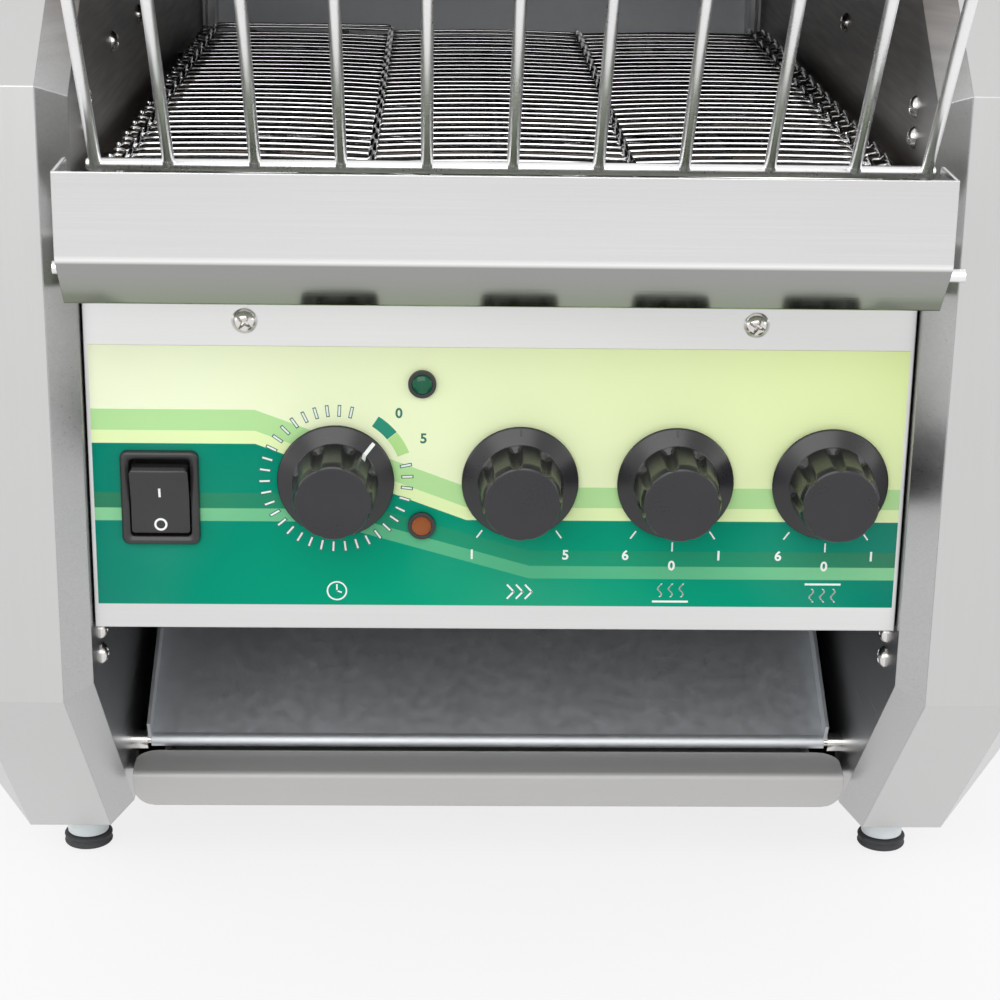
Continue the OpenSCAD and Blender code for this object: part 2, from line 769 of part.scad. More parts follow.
// The chain hangs straight down from the drive shaft to the motor
module drive_chain() {
  members = 2 * chain_links + sprocket_teeth;
  color("darkslategray") in_frame() translate([chain_x, drive_y, shaft_z]) rotate([-90, 0, 0])
    for (k = [0 : members - 1]) {
      at = loop_place(k, chain_links, chain_pitch, chain_r, sprocket_teeth);
      translate([0, at[0], at[1]]) rotate([at[2], 0, 0])
        if (k % 2 == 0) inner_link();
        else outer_link();
    }
}

motor_d = 46;

module motor_bracket() {
  w = 70;
  h = 60;
  color(dull_steel) in_frame() difference() {
    union() {
      translate([bracket_x, drive_y - w / 2, motor_z - h / 2]) cube([1.6, w, h]);
      for (y = [-1, 1] * (w / 2 - 5), z = [-1, 1] * (h / 2 - 5))
        bar_x(wall_x + sheet_t, bracket_x, 7, drive_y + y, motor_z + z);
    }
    bar_x(bracket_x - 1, bracket_x + 3, 16, drive_y, motor_z);
  }
}

module gearmotor() {
  front = bracket_x + 1.6;
  gearbox_l = 20;
  color("slategray") in_frame() difference() {
    union() {
      translate([front, drive_y - 30, motor_z - 26]) cube([gearbox_l, 60, 52]);
      bar_x(front + gearbox_l, half_w - sheet_t - 2, motor_d, drive_y, motor_z);
      bar_x(bracket_x - 1.5, front, 16, drive_y, motor_z);
    }
    bar_x(bracket_x - 3, front + 12, motor_shaft_d + 2 * fit_gap, drive_y, motor_z);
  }
}

module motor_shaft() {
  color("gray") in_frame() bar_x(chain_x - 6, bracket_x + 12, motor_shaft_d, drive_y, motor_z);
}

// ---- heating chamber ----

heater_bush_d = heater_d + 5;
lower_heater_z = shaft_z;
lower_heater_y = (idler_y + drive_y) / 2;
lower_heater_ys =
  [for (i = [0 : lower_heaters_n - 1]) lower_heater_y + (i - (lower_heaters_n - 1) / 2) * heater_pitch];
// the upper rods share out the reflector above them evenly
reflector_front = hood_y + hood_return + 3;
reflector_back = drive_y + 6;
upper_pitch = (reflector_back - reflector_front) / upper_heaters_n;
upper_heater_ys = [for (i = [0 : upper_heaters_n - 1]) reflector_front + (i + 0.5) * upper_pitch];
heater_places = concat(
  [for (y = upper_heater_ys) [y, upper_heater_z]],
  [for (y = lower_heater_ys) [y, lower_heater_z]]
);

// A heater rod with a thinner terminal stud at each end
module heater_rod(y, z) {
  bar_x(-wall_x - 8, wall_x + 8, heater_d, y, z);
  both_sides() bar_x(wall_x + 7, wall_x + 18, heater_d * 0.45, y, z);
}

module upper_heaters() {
  color("peru") in_frame() for (y = upper_heater_ys) heater_rod(y, upper_heater_z);
}

module lower_heaters() {
  color("peru") in_frame() for (y = lower_heater_ys) heater_rod(y, lower_heater_z);
}

module heater_bushes() {
  color("white") in_frame() both_sides() for (at = heater_places)
    difference() {
      union() {
        bar_x(wall_x - 2, wall_x, heater_bush_d + 4, at.x, at.y);
        bar_x(wall_x - 2, wall_x + 5, heater_bush_d, at.x, at.y);
      }
      bar_x(wall_x - 3, wall_x + 6, heater_d, at.x, at.y);
    }
}

liner_t = sheet_t * 0.75;   // thinner sheet of the reflector and the crumb pan

module upper_reflector() {
  low = upper_heater_z - heater_d / 4;
  high = upper_heater_z + heater_d * 1.75;
  rise = high - low;
  line = [[reflector_back, low], [reflector_back - rise * 0.6, high],
          [reflector_front + rise * 1.1, high], [reflector_front, low]];
  color(dull_steel) in_frame() across(chamber_w) folded(line, liner_t);
}

module crumb_pan() {
  top = belt_low - 3;
  line = [[idler_y - 4, top], [idler_y + 2, top - 5], [drive_y - 8, top - 5], [drive_y - 2, top]];
  color(dull_steel) in_frame() across(chamber_w) folded(line, liner_t);
}

// ---- chute and tray ----

chute_flange = 9;
chute_roll_d = 5;
chute_stud_l = 6;

module toast_chute() {
  slope = [cos(chute_angle), sin(chute_angle)];
  start = [chute_front, chute_low];
  bend_r = 34;
  corner = start + slope * (chute_back - chute_front) / slope.x;
  setback = bend_r * tan((90 - chute_angle) / 2);
  centre = [chute_back - bend_r, corner.y + setback];
  bend = arc(centre, bend_r, chute_angle - 90, 0, 6);
  line = concat([start], bend, [[chute_back, belt_top + 12]]);
  color("gray") in_frame() difference() {
    union() {
      across(chute_w) folded(line, sheet_t);
      bar_x(-chute_w / 2, chute_w / 2, chute_roll_d, chute_front, chute_low);
      both_sides() between(chute_w / 2, chute_w / 2 + sheet_t)
        folded(line, chute_flange);
    }
    both_sides() {
      bar_x(chute_w / 2 - 1, chute_w / 2 + 3, screw_shank_d, chute_screw_y, chute_screw_z);
      bar_x(chute_w / 2 - chute_stud_l, chute_w / 2 + 3, chute_stud_d, chute_front, chute_low);
    }
  }
}

// A spacer ring between the chute and the wall
module chute_spacer(bore_d, y, z) {
  difference() {
    bar_x(chute_w / 2 + sheet_t, wall_x, 7.2, y, z);
    bar_x(chute_w / 2, wall_x + 1, bore_d, y, z);
  }
}

// A screw near the back of the chute, and a stud in the end of its rolled front edge
module chute_screws() {
  inner = chute_w / 2;
  color(bright_steel) in_frame() both_sides() {
    translate([inner, chute_screw_y, chute_screw_z]) rotate([0, -90, 0])
      screw(6.6, 2, screw_shank_d, wall_x - inner + 4);
    chute_spacer(screw_shank_d, chute_screw_y, chute_screw_z);
    bar_x(inner - chute_stud_l, wall_x + 4, chute_stud_d, chute_front, chute_low);
    chute_spacer(chute_stud_d, chute_front, chute_low);
  }
}

lip_corner_r = 8;
tray_w = chute_w - 8;

module landing_tray() {
  back = lip_front + tray_depth;
  strip_back = lip_front + lip_strip;
  front = strip_back - sheet_t;
  under = tray_floor - sheet_t;
  color(steel) in_frame() union() {
    // the lip: a face and a strip, with round corners at both ends
    difference() {
      across(lip_w)
        folded([[lip_front, lip_high - lip_h], [lip_front, lip_high], [strip_back, lip_high + 1]], -sheet_t);
      both_sides() {
        lip_corner_cut(lip_front - 3, lip_high - lip_h, true);
        lip_corner_cut(strip_back, lip_high - 3, false);
      }
    }
    // the tray behind it, under the chute
    across(tray_w)
      folded([[front, lip_high + 0.5], [front, under], [back, under], [back, tray_floor + 5]], sheet_t);
    both_sides() translate([tray_w / 2 - sheet_t, front, under]) cube([sheet_t, back - front, 6]);
  }
}

// Cuts one corner of the lip round: the bottom of its face or the back of its strip
module lip_corner_cut(y, z, face) {
  r = lip_corner_r;
  at = [lip_w / 2 - r, face ? z + r : y - r];
  if (face)
    translate([at.x, y + 6, z]) rotate([90, 0, 0]) linear_extrude(12) difference() {
      translate([0, -1]) square([r + 1, r + 1]);
      translate([0, r]) circle(r = r, $fn = 48);
    }
  else
    translate([at.x, at.y, z - 3]) linear_extrude(12) difference() {
      square([r + 1, r + 1]);
      circle(r = r, $fn = 48);
    }
}

module tray_guides() {
  front = chute_front + 4;
  guide_l = lip_front + tray_depth - front - 10;
  top = tray_floor - sheet_t - rest_gap;
  inner = tray_w / 2 - 8;
  color(dull_steel) in_frame() both_sides() {
    translate([inner, front, top - sheet_t]) cube([wall_x - inner, guide_l, sheet_t]);
    translate([wall_x - sheet_t, front, top - sheet_t]) cube([sheet_t, guide_l, 8]);
  }
}

// ---- front guard and loading rack ----

module front_guard() {
  slope_y = guard_front + 14.5;
  back_high = guard_pin_z + 5;
  line = [[guard_front + 0.5, guard_high], [guard_front, guard_bend_z], [slope_y, guard_low],
          [guard_back, guard_low], [guard_back, back_high]];
  notch = guard_pin_d + 2 * slide_gap;
  ear = [guard_ear_x - sheet_t, guard_ear_x];
  ear_back = guard_pin_y + 6;
  ear_front = guard_neck_y - 6;
  color(steel) in_frame() difference() {
    union() {
      difference() {
        across(guard_w) folded(line, sheet_t);
        both_sides() translate([guard_ear_x, guard_neck_y, guard_low - 1]) cube([5, guard_depth, guard_h]);
      }
      // ends in front of the housings
      both_sides() between(guard_w / 2 - sheet_t, guard_w / 2)
        polygon([[guard_front + 0.5, guard_high], [guard_front, guard_bend_z], [slope_y, guard_low],
                 [guard_neck_y, guard_low], [guard_neck_y, back_high],
                 [guard_front + guard_end_d, guard_high]]);
      // ears that go on between the walls and hook over the pins
      both_sides() between(ear[0], ear[1])
        polygon([[ear_front, guard_low], [guard_back, guard_low], [ear_back, guard_pin_z - 4],
                 [ear_back, back_high], [ear_front, back_high]]);
    }
    both_sides() bar_x(ear[0] - 1, ear[1] + 1, notch, guard_pin_y, guard_pin_z);
    both_sides() translate([ear[0] - 1, guard_pin_y - notch / 2, guard_low - 1])
      cube([sheet_t + 2, notch, guard_pin_z - guard_low + 1]);
    both_sides() bar_x(guard_w / 2 - 3, guard_w / 2 + 1, guard_rod_d, rod_y, rod_z);
  }
}

rod_y = guard_front + 8.6;
rod_z = guard_bend_z - 4.2;

module guard_rod() {
  color(bright_steel) in_frame() bar_x(-guard_w / 2 - 2, guard_w / 2 + 5.5, guard_rod_d, rod_y, rod_z);
}

module guard_pins() {
  ear = guard_ear_x - sheet_t;
  color(bright_steel) in_frame() both_sides() {
    bar_x(ear - 1, wall_x + sheet_t, guard_pin_d, guard_pin_y, guard_pin_z);
    bar_x(ear - 1.4, ear - 0.4, guard_pin_d + 2.2, guard_pin_y, guard_pin_z);
  }
}

module loading_rack() {
  bar_half = (rack_w + rack_wire_d) / 2;
  inner_half = (rack_wires - 3) / 2;
  xs = concat([for (i = [-inner_half : inner_half]) i * rack_pitch], [-rack_w / 2, rack_w / 2]);
  foot_z = guard_low + sheet_t + slide_gap;
  color(bright_steel) in_frame() translate([rack_shift, 0, 0]) {
    bar_x(-bar_half - 1, bar_half + 1, rack_bar_d, rack_bar_y, rack_bar_z);
    bar_x(-bar_half - 1, bar_half + 1, rack_bar_d, rack_tip_y, rack_tip_z);
    for (x = xs)
      translate([x, rack_bar_y, rack_bar_z]) rotate([90 - rack_angle, 0, 0])
        cylinder(h = rack_len, d = rack_wire_d, $fn = 24);
    for (x = [-rack_w / 2, rack_w / 2])
      translate([x, rack_bar_y, foot_z]) cylinder(h = rack_bar_z - foot_z, d = rack_wire_d, $fn = 24);
  }
}

// ---- switch, lamps and controls ----

rocker_w = switch_w - 6.5;
rocker_h = switch_h - 7;
rocker_tilt = 9;
rocker_pin_d = 3;

module power_switch() {
  w = switch_w;
  h = switch_h;
  color(black_plastic) in_frame() translate([switch_x, 0, switch_z]) difference() {
    union() {
      translate([-w / 2, -label_t - 2.2, -h / 2]) cube([w, 2.2, h]);
      translate([-w / 2 + 1.5, -label_t, -h / 2 + 1.5]) cube([w - 3, 22, h - 3]);
    }
    // well for the rocker
    translate([-rocker_w / 2 - 0.5, -10, -rocker_h / 2 - 0.8]) cube([rocker_w + 1, 20, rocker_h + 1.6]);
    bar_x(-rocker_w / 2 - 2, rocker_w / 2 + 2, rocker_pin_d + 2 * fit_gap, 2, 0);
  }
}

// The rocker rests with its lower end pressed in
module power_rocker() {
  half = rocker_h / 2;
  proud = 4.2;
  color(black_plastic) in_frame() translate([switch_x, 2, switch_z]) {
    rotate([rocker_tilt, 0, 0])
      across(rocker_w)
        polygon(concat(
          [[-proud - 1.6, half - 1.2], [-proud, 0], [-proud - 1.6, -half + 1.2], [-proud, -half + 0.4],
           [1, -half + 1.6]],
          arc([0, 0], 4.5, -60, 60, 6),
          [[1, half - 1.6], [-proud, half - 0.4]]));
    bar_x(-rocker_w / 2 - 1.6, rocker_w / 2 + 1.6, rocker_pin_d, 0, 0);
  }
}

module lamp_bezels() {
  color(black_plastic) in_frame() for (z = [upper_lamp_z, lower_lamp_z])
    difference() {
      union() {
        bar_y(-label_t - 1.6, -label_t, lamp_d, lamp_x, z);
        bar_y(-label_t, 20, lamp_d - 1.2, lamp_x, z);
      }
      bar_y(-label_t - 2, 10, lamp_d - 2.4, lamp_x, z);
    }
}

// A lens with a low dome that fills its bezel
module lens(z) {
  r = lamp_d / 2 - 1.2;
  translate([lamp_x, -label_t, z]) rotate([90, 0, 0]) rotate_extrude($fn = 48)
    polygon(concat([[0, -8], [r, -8]], [for (a = [0 : 15 : 90]) [r * cos(a), 1.2 + 1.4 * sin(a)]]));
}

module green_lens() {
  color("green") in_frame() lens(upper_lamp_z);
}

module amber_lens() {
  color("orangered") in_frame() lens(lower_lamp_z);
}

nut_h = 1.8;

// Body of a control behind the panel, with its bushing through the panel
module control_body(x, w, h, depth) {
  front = sheet_t;
  difference() {
    union() {
      if (h == 0) bar_y(front, front + depth, w, x, knob_z);
      else translate([x - w / 2, front, knob_z - h / 2]) cube([w, depth, h]);
      bar_y(-label_t - nut_h - 0.3, front + 1, bushing_d, x, knob_z);
    }
    bar_y(-10, front + 9, control_shaft_d + 2 * fit_gap, x, knob_z);
  }
}

module control_shaft(x) {
  bar_y(-skirt_gap - knob_h + 7, sheet_t + 8, control_shaft_d, x, knob_z);
}

flutes = 12;

// A skirted, fluted knob: glossy cone, then a grip that narrows towards its face
module knob(x) {
  r = knob_skirt_d / 2;
  grip_r = knob_grip_d / 2;
  face_r = grip_r - 1.3;
  base = 9.5;
  flute_d = 5.2;
  translate([x, -skirt_gap, knob_z]) rotate([90, 0, 0]) difference() {
    rotate_extrude($fn = 96)
      polygon([
        [0, 3.2], [8.4, 3.2], [8.4, 0], [r, 0], [r, 1.2], [r - 1.2, 2.6],
        [grip_r + 1.4, base - 1.2], [grip_r, base],
        [face_r + 0.2, knob_h - 1.4], [face_r - 1.2, knob_h - 0.3], [face_r - 3.2, knob_h], [0, knob_h]
      ]);
    for (i = [0 : flutes - 1])
      rotate([0, 0, (i + 0.5) * 360 / flutes]) translate([grip_r + 0.9, 0, base - 1.4])
        cylinder(h = knob_h, d = flute_d, $fn = 32);
    translate([0, 0, -1]) cylinder(h = knob_h - 6, d = control_shaft_d, $fn = 48);
  }
}

module timer_control() {
  color("gray") in_frame() control_body(timer_x, 36, 0, 30);
}

module timer_shaft() {
  color("silver") in_frame() control_shaft(timer_x);
}

module timer_knob() {
  color(black_plastic) in_frame() knob(timer_x);
}

module speed_control() {
  color("gray") in_frame() control_body(speed_x, 24, 0, 15);
}

module speed_shaft() {
  color("silver") in_frame() control_shaft(speed_x);
}

module speed_knob() {
  color(black_plastic) in_frame() knob(speed_x);
}

module top_heat_control() {
  color("gray") in_frame() control_body(top_heat_x, 32, 38, 36);
}

module top_heat_shaft() {
  color("silver") in_frame() control_shaft(top_heat_x);
}

module top_heat_knob() {
  color(black_plastic) in_frame() knob(top_heat_x);
}

module bottom_heat_control() {
  color("gray") in_frame() control_body(bottom_heat_x, 32, 38, 36);
}

module bottom_heat_shaft() {
  color("silver") in_frame() control_shaft(bottom_heat_x);
}

module bottom_heat_knob() {
  color(black_plastic) in_frame() knob(bottom_heat_x);
}

module control_nuts() {
  color(bright_steel) in_frame() for (x = [timer_x, speed_x, top_heat_x, bottom_heat_x])
    difference() {
      translate([x, -label_t, knob_z]) rotate([90, 0, 0]) cylinder(h = nut_h, d = 15, $fn = 6);
      bar_y(-5, 1, bushing_d, x, knob_z);
    }
}

// ---- gland and feet ----

module cord_gland() {
  color(black_plastic) in_frame() difference() {
    union() {
      bar_y(housing_back - sheet_t - 10, housing_back, gland_d, gland_x, gland_z);
      translate([gland_x, housing_back, gland_z]) rotate([-90, 0, 0])
        cylinder(h = 5, d = gland_d + 5, $fn = 6);
      bar_y(housing_back + 5, machine_back, gland_d, gland_x, gland_z);
    }
    bar_y(housing_back - sheet_t - 11, machine_back + 1, gland_bore_d, gland_x, gland_z);
  }
}

stud_d = 6;
pad_h = 5;

module at_feet() {
  both_sides() for (y = [foot_front_y, foot_back_y]) translate([foot_x, y, 0]) children();
}

module foot_collars() {
  color("white") in_frame() at_feet() {
    translate([0, 0, pad_h]) cylinder(h = foot_h - pad_h, d = foot_d, $fn = 64);
    translate([0, 0, pad_h]) cylinder(h = foot_h - pad_h + sheet_t + 5, d = stud_d, $fn = 32);
  }
}

module foot_pads() {
  color([0.12, 0.12, 0.13]) in_frame() at_feet()
    rotate_extrude($fn = 64)
      polygon([
        [0, 0], [pad_d / 2 - 1, 0], [pad_d / 2, 1],
        [pad_d / 2, pad_h - 0.8], [pad_d / 2 - 0.8, pad_h], [0, pad_h]
      ]);
}

left_housing();
right_housing();
left_inner_wall();
right_inner_wall();
top_cover();
rear_cover();
cover_screws();
wall_screws();
control_box();
control_panel();
panel_label();
panel_screws();
wire_belt();
belt_rails();
shaft_bushes();
drive_shaft();
drive_sprockets();
shaft_chain_sprocket();
idler_shaft();
idler_rollers();
drive_chain();
gearmotor();
motor_bracket();
motor_shaft();
motor_sprocket();
upper_heaters();
lower_heaters();
heater_bushes();
upper_reflector();
crumb_pan();
toast_chute();
chute_screws();
landing_tray();
tray_guides();
front_guard();
guard_rod();
guard_pins();
loading_rack();
power_switch();
power_rocker();
lamp_bezels();
green_lens();
amber_lens();
timer_control();
timer_shaft();
timer_knob();
speed_control();
speed_shaft();
speed_knob();
top_heat_control();
top_heat_shaft();
top_heat_knob();
bottom_heat_control();
bottom_heat_shaft();
bottom_heat_knob();
control_nuts();
cord_gland();
foot_collars();
foot_pads();
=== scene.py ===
"""The looks of a counter-top conveyor toaster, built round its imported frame.

Each operator makes one piece, or one group of like pieces, from sizes held in a property
group. Lengths are metres. X points to the operator's right, Y to the back and Z up.
"""

import json
import math

import bmesh
import bpy
import numpy as np
from mathutils import Matrix, Vector


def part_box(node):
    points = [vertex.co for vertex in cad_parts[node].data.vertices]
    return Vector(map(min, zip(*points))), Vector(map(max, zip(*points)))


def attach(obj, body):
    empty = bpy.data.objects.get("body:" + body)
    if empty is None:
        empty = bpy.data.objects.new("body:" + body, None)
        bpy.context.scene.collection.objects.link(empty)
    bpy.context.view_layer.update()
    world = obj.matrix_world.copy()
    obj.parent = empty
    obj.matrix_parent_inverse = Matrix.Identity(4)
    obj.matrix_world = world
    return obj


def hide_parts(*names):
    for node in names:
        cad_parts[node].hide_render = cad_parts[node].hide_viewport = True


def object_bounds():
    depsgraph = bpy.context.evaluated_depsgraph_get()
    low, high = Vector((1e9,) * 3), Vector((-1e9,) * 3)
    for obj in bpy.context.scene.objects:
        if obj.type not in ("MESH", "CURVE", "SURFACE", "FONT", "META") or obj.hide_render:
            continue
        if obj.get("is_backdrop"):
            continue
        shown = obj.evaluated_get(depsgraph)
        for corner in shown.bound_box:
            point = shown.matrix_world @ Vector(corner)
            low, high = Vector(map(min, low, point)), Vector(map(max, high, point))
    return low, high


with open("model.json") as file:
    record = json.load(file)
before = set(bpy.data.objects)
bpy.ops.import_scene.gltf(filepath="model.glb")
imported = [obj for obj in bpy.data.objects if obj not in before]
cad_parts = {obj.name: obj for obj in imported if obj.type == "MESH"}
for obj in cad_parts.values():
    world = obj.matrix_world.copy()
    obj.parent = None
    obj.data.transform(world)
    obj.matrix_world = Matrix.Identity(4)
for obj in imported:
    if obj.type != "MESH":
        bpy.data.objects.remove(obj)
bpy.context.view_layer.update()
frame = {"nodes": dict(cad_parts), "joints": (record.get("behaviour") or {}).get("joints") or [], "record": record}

bl_info = {
    "name": "Conveyor Toaster",
    "version": (1, 0, 0),
    "blender": (4, 5, 0),
    "location": "View3D > Sidebar > Toaster",
    "description": "Builds the visible pieces, finishes, studio and camera of a conveyor toaster",
    "category": "Object",
}

MM = 0.001


def joint_place(name):
    """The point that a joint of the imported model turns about."""
    return Vector(next(j for j in frame["joints"] if j["name"] == name)["pos_m"])


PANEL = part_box("control_panel")
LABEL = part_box("panel_label")
FACE_Y = LABEL[0].y
PANEL_Y = PANEL[0].y
KNOBS = {name: joint_place(f"{name}_turn") for name in ("timer", "speed", "top_heat", "bottom_heat")}
WALL_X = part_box("right_inner_wall")[0].x
# How high the guard's fold is above its lowest edge.
GUARD_FOLD = 17 * MM


# ---- settings ----


class BeltSettings(bpy.types.PropertyGroup):
    wire: bpy.props.FloatProperty(
        name="Wire diameter", description="Diameter of the belt's wire",
        default=1.55 * MM, min=1 * MM, max=1.7 * MM, unit="LENGTH")
    links: bpy.props.IntProperty(
        name="Links in a run", description="Strands along each straight run of the belt",
        default=31, min=20, max=31)
    teeth: bpy.props.IntProperty(
        name="Wheel teeth", description="Strands round one full turn of a wheel",
        default=12, min=8, max=16)
    lane: bpy.props.FloatProperty(
        name="Middle lane", description="Width of the lane between the two inner joints",
        default=84.7 * MM, min=60 * MM, max=110 * MM, unit="LENGTH")
    lane_step: bpy.props.FloatProperty(
        name="Lane step", description="How far a strand steps along the belt at a joint",
        default=4.6 * MM, min=0, max=6 * MM, unit="LENGTH")
    sag: bpy.props.FloatProperty(
        name="Sag", description="How far the strands hang lower at their inner joints",
        default=1.1 * MM, min=0, max=3 * MM, unit="LENGTH")
    bow: bpy.props.FloatProperty(
        name="Bow", description="How far the strands lag behind at their inner joints",
        default=1.6 * MM, min=0, max=4 * MM, unit="LENGTH")
    edge_lane: bpy.props.FloatProperty(
        name="Edge lane", description="Width of the short lane along each edge",
        default=8.5 * MM, min=6 * MM, max=14 * MM, unit="LENGTH")


class KnobSettings(bpy.types.PropertyGroup):
    skirt: bpy.props.FloatProperty(
        name="Skirt radius", description="Radius of the knob's skirt",
        default=19.1 * MM, min=17 * MM, max=20 * MM, unit="LENGTH")
    grip: bpy.props.FloatProperty(
        name="Grip radius", description="Radius of the fluted grip at its foot",
        default=13.8 * MM, min=12 * MM, max=14.5 * MM, unit="LENGTH")
    height: bpy.props.FloatProperty(
        name="Height", description="From the skirt's back edge to the face",
        default=23 * MM, min=20 * MM, max=25 * MM, unit="LENGTH")
    flutes: bpy.props.IntProperty(
        name="Flutes", description="Scallops round the grip", default=8, min=6, max=14)
    flute_radius: bpy.props.FloatProperty(
        name="Flute radius", description="Radius of each scallop",
        default=2.5 * MM, min=1.5 * MM, max=3 * MM, unit="LENGTH")


class LabelSettings(bpy.types.PropertyGroup):
    pale: bpy.props.FloatVectorProperty(
        name="Pale left", description="Ground colour at the left end",
        default=(0.84, 0.90, 0.66), subtype="COLOR", min=0, max=1)
    lime: bpy.props.FloatVectorProperty(
        name="Pale right", description="Ground colour at the right end",
        default=(0.74, 0.86, 0.40), subtype="COLOR", min=0, max=1)
    leaf: bpy.props.FloatVectorProperty(
        name="Light stripe", description="Colour of the upper stripe",
        default=(0.44, 0.72, 0.32), subtype="COLOR", min=0, max=1)
    teal: bpy.props.FloatVectorProperty(
        name="Field", description="Colour of the lower field",
        default=(0.0, 0.21, 0.145), subtype="COLOR", min=0, max=1)
    deep: bpy.props.FloatVectorProperty(
        name="Deep field", description="Colour of the field's dark stripes",
        default=(0.03, 0.20, 0.11), subtype="COLOR", min=0, max=1)


class SteelSettings(bpy.types.PropertyGroup):
    housing: bpy.props.FloatProperty(
        name="Housing tone", description="How light the housings' steel is",
        default=0.61, min=0.2, max=0.9, subtype="FACTOR")
    panel: bpy.props.FloatProperty(
        name="Panel tone", description="How light the control panel's steel is",
        default=0.72, min=0.2, max=0.95, subtype="FACTOR")
    chute: bpy.props.FloatProperty(
        name="Chute tone", description="How light the chute's dull steel is",
        default=0.86, min=0.1, max=0.95, subtype="FACTOR")


class SheetSettings(bpy.types.PropertyGroup):
    thickness: bpy.props.FloatProperty(
        name="Sheet thickness", description="Thickness of the folded sheets",
        default=1.2 * MM, min=0.8 * MM, max=1.6 * MM, unit="LENGTH")
    bend: bpy.props.FloatProperty(
        name="Bend radius", description="Outer radius of a fold",
        default=2.4 * MM, min=1.3 * MM, max=4 * MM, unit="LENGTH")
    lip_corner: bpy.props.FloatProperty(
        name="Lip corner", description="Radius of the landing lip's corners",
        default=8 * MM, min=2 * MM, max=12 * MM, unit="LENGTH")


class StudioSettings(bpy.types.PropertyGroup):
    floor_size: bpy.props.FloatProperty(
        name="Floor size", description="Side of the square floor",
        default=12, min=2, max=40, unit="LENGTH")
    key_power: bpy.props.FloatProperty(
        name="Key power", description="Power of the large lamp above the front, in watts",
        default=17, min=0, max=400)
    side_power: bpy.props.FloatProperty(
        name="Side power", description="Power of each side lamp, in watts",
        default=7, min=0, max=200)
    room_light: bpy.props.FloatProperty(
        name="Room light", description="Strength of the even light from all round",
        default=0.55, min=0, max=2)
    lens: bpy.props.FloatProperty(
        name="Lens", description="Focal length of the camera, in millimetres",
        default=84.43, min=20, max=200)


SETTINGS = {
    "toaster_belt": BeltSettings,
    "toaster_knob": KnobSettings,
    "toaster_label": LabelSettings,
    "toaster_steel": SteelSettings,
    "toaster_sheet": SheetSettings,
    "toaster_studio": StudioSettings,
}


# ---- finishes ----


class Value:
    """One number on a surface: a shader socket that adds a Math node for each operator."""

    def __init__(self, finish, socket):
        self.finish = finish
        self.socket = socket

    def maths(self, operation, *others):
        return self.finish.node("ShaderNodeMath", {"operation": operation}, others)

    def __add__(self, other):
        return self.maths("ADD", self, other)

    def __sub__(self, other):
        return self.maths("SUBTRACT", self, other)

    def __rsub__(self, other):
        return self.maths("SUBTRACT", other, self)

    def __mul__(self, other):
        return self.maths("MULTIPLY", self, other)

    def __gt__(self, other):
        return self.maths("GREATER_THAN", self, other)

    def __lt__(self, other):
        return self.maths("LESS_THAN", self, other)

    def __abs__(self):
        return self.maths("ABSOLUTE", self)

    def limited(self):
        """The value held between 0 and 1."""
        return self.finish.node("ShaderNodeClamp", {}, [self, 0.0, 1.0])

    def greater_of(self, other):
        return self.maths("MAXIMUM", self, other)

    __radd__ = __add__
    __rmul__ = __mul__


class Nodes:
    """A node tree under construction, with one method that adds any node to it."""

    def __init__(self, tree):
        self.tree = tree

    def node(self, kind, settings=None, inputs=(), out=0):
        """Adds a node. Settings come first, then its sockets, by place or by name."""
        made = self.tree.nodes.new(kind)
        for name, setting in (settings or {}).items():
            setattr(made, name, setting)
        pairs = inputs.items() if isinstance(inputs, dict) else enumerate(inputs)
        for place, given in pairs:
            self.feed(made.inputs[place], given)
        return Value(self, made.outputs[out])

    def feed(self, socket, given):
        if isinstance(given, Value):
            self.tree.links.new(given.socket, socket)
        elif hasattr(given, "__len__") and socket.type == "RGBA" and len(given) == 3:
            socket.default_value = (*given, 1)
        else:
            socket.default_value = given

    def seen_rays(self):
        """1 for rays from the camera, in reflections and through glass, and 0 for the rest."""
        seen = self.node("ShaderNodeLightPath", out="Is Camera Ray")
        rays = seen.socket.node.outputs
        for ray in ("Is Glossy Ray", "Is Transmission Ray"):
            seen = seen.greater_of(Value(self, rays[ray]))
        return seen


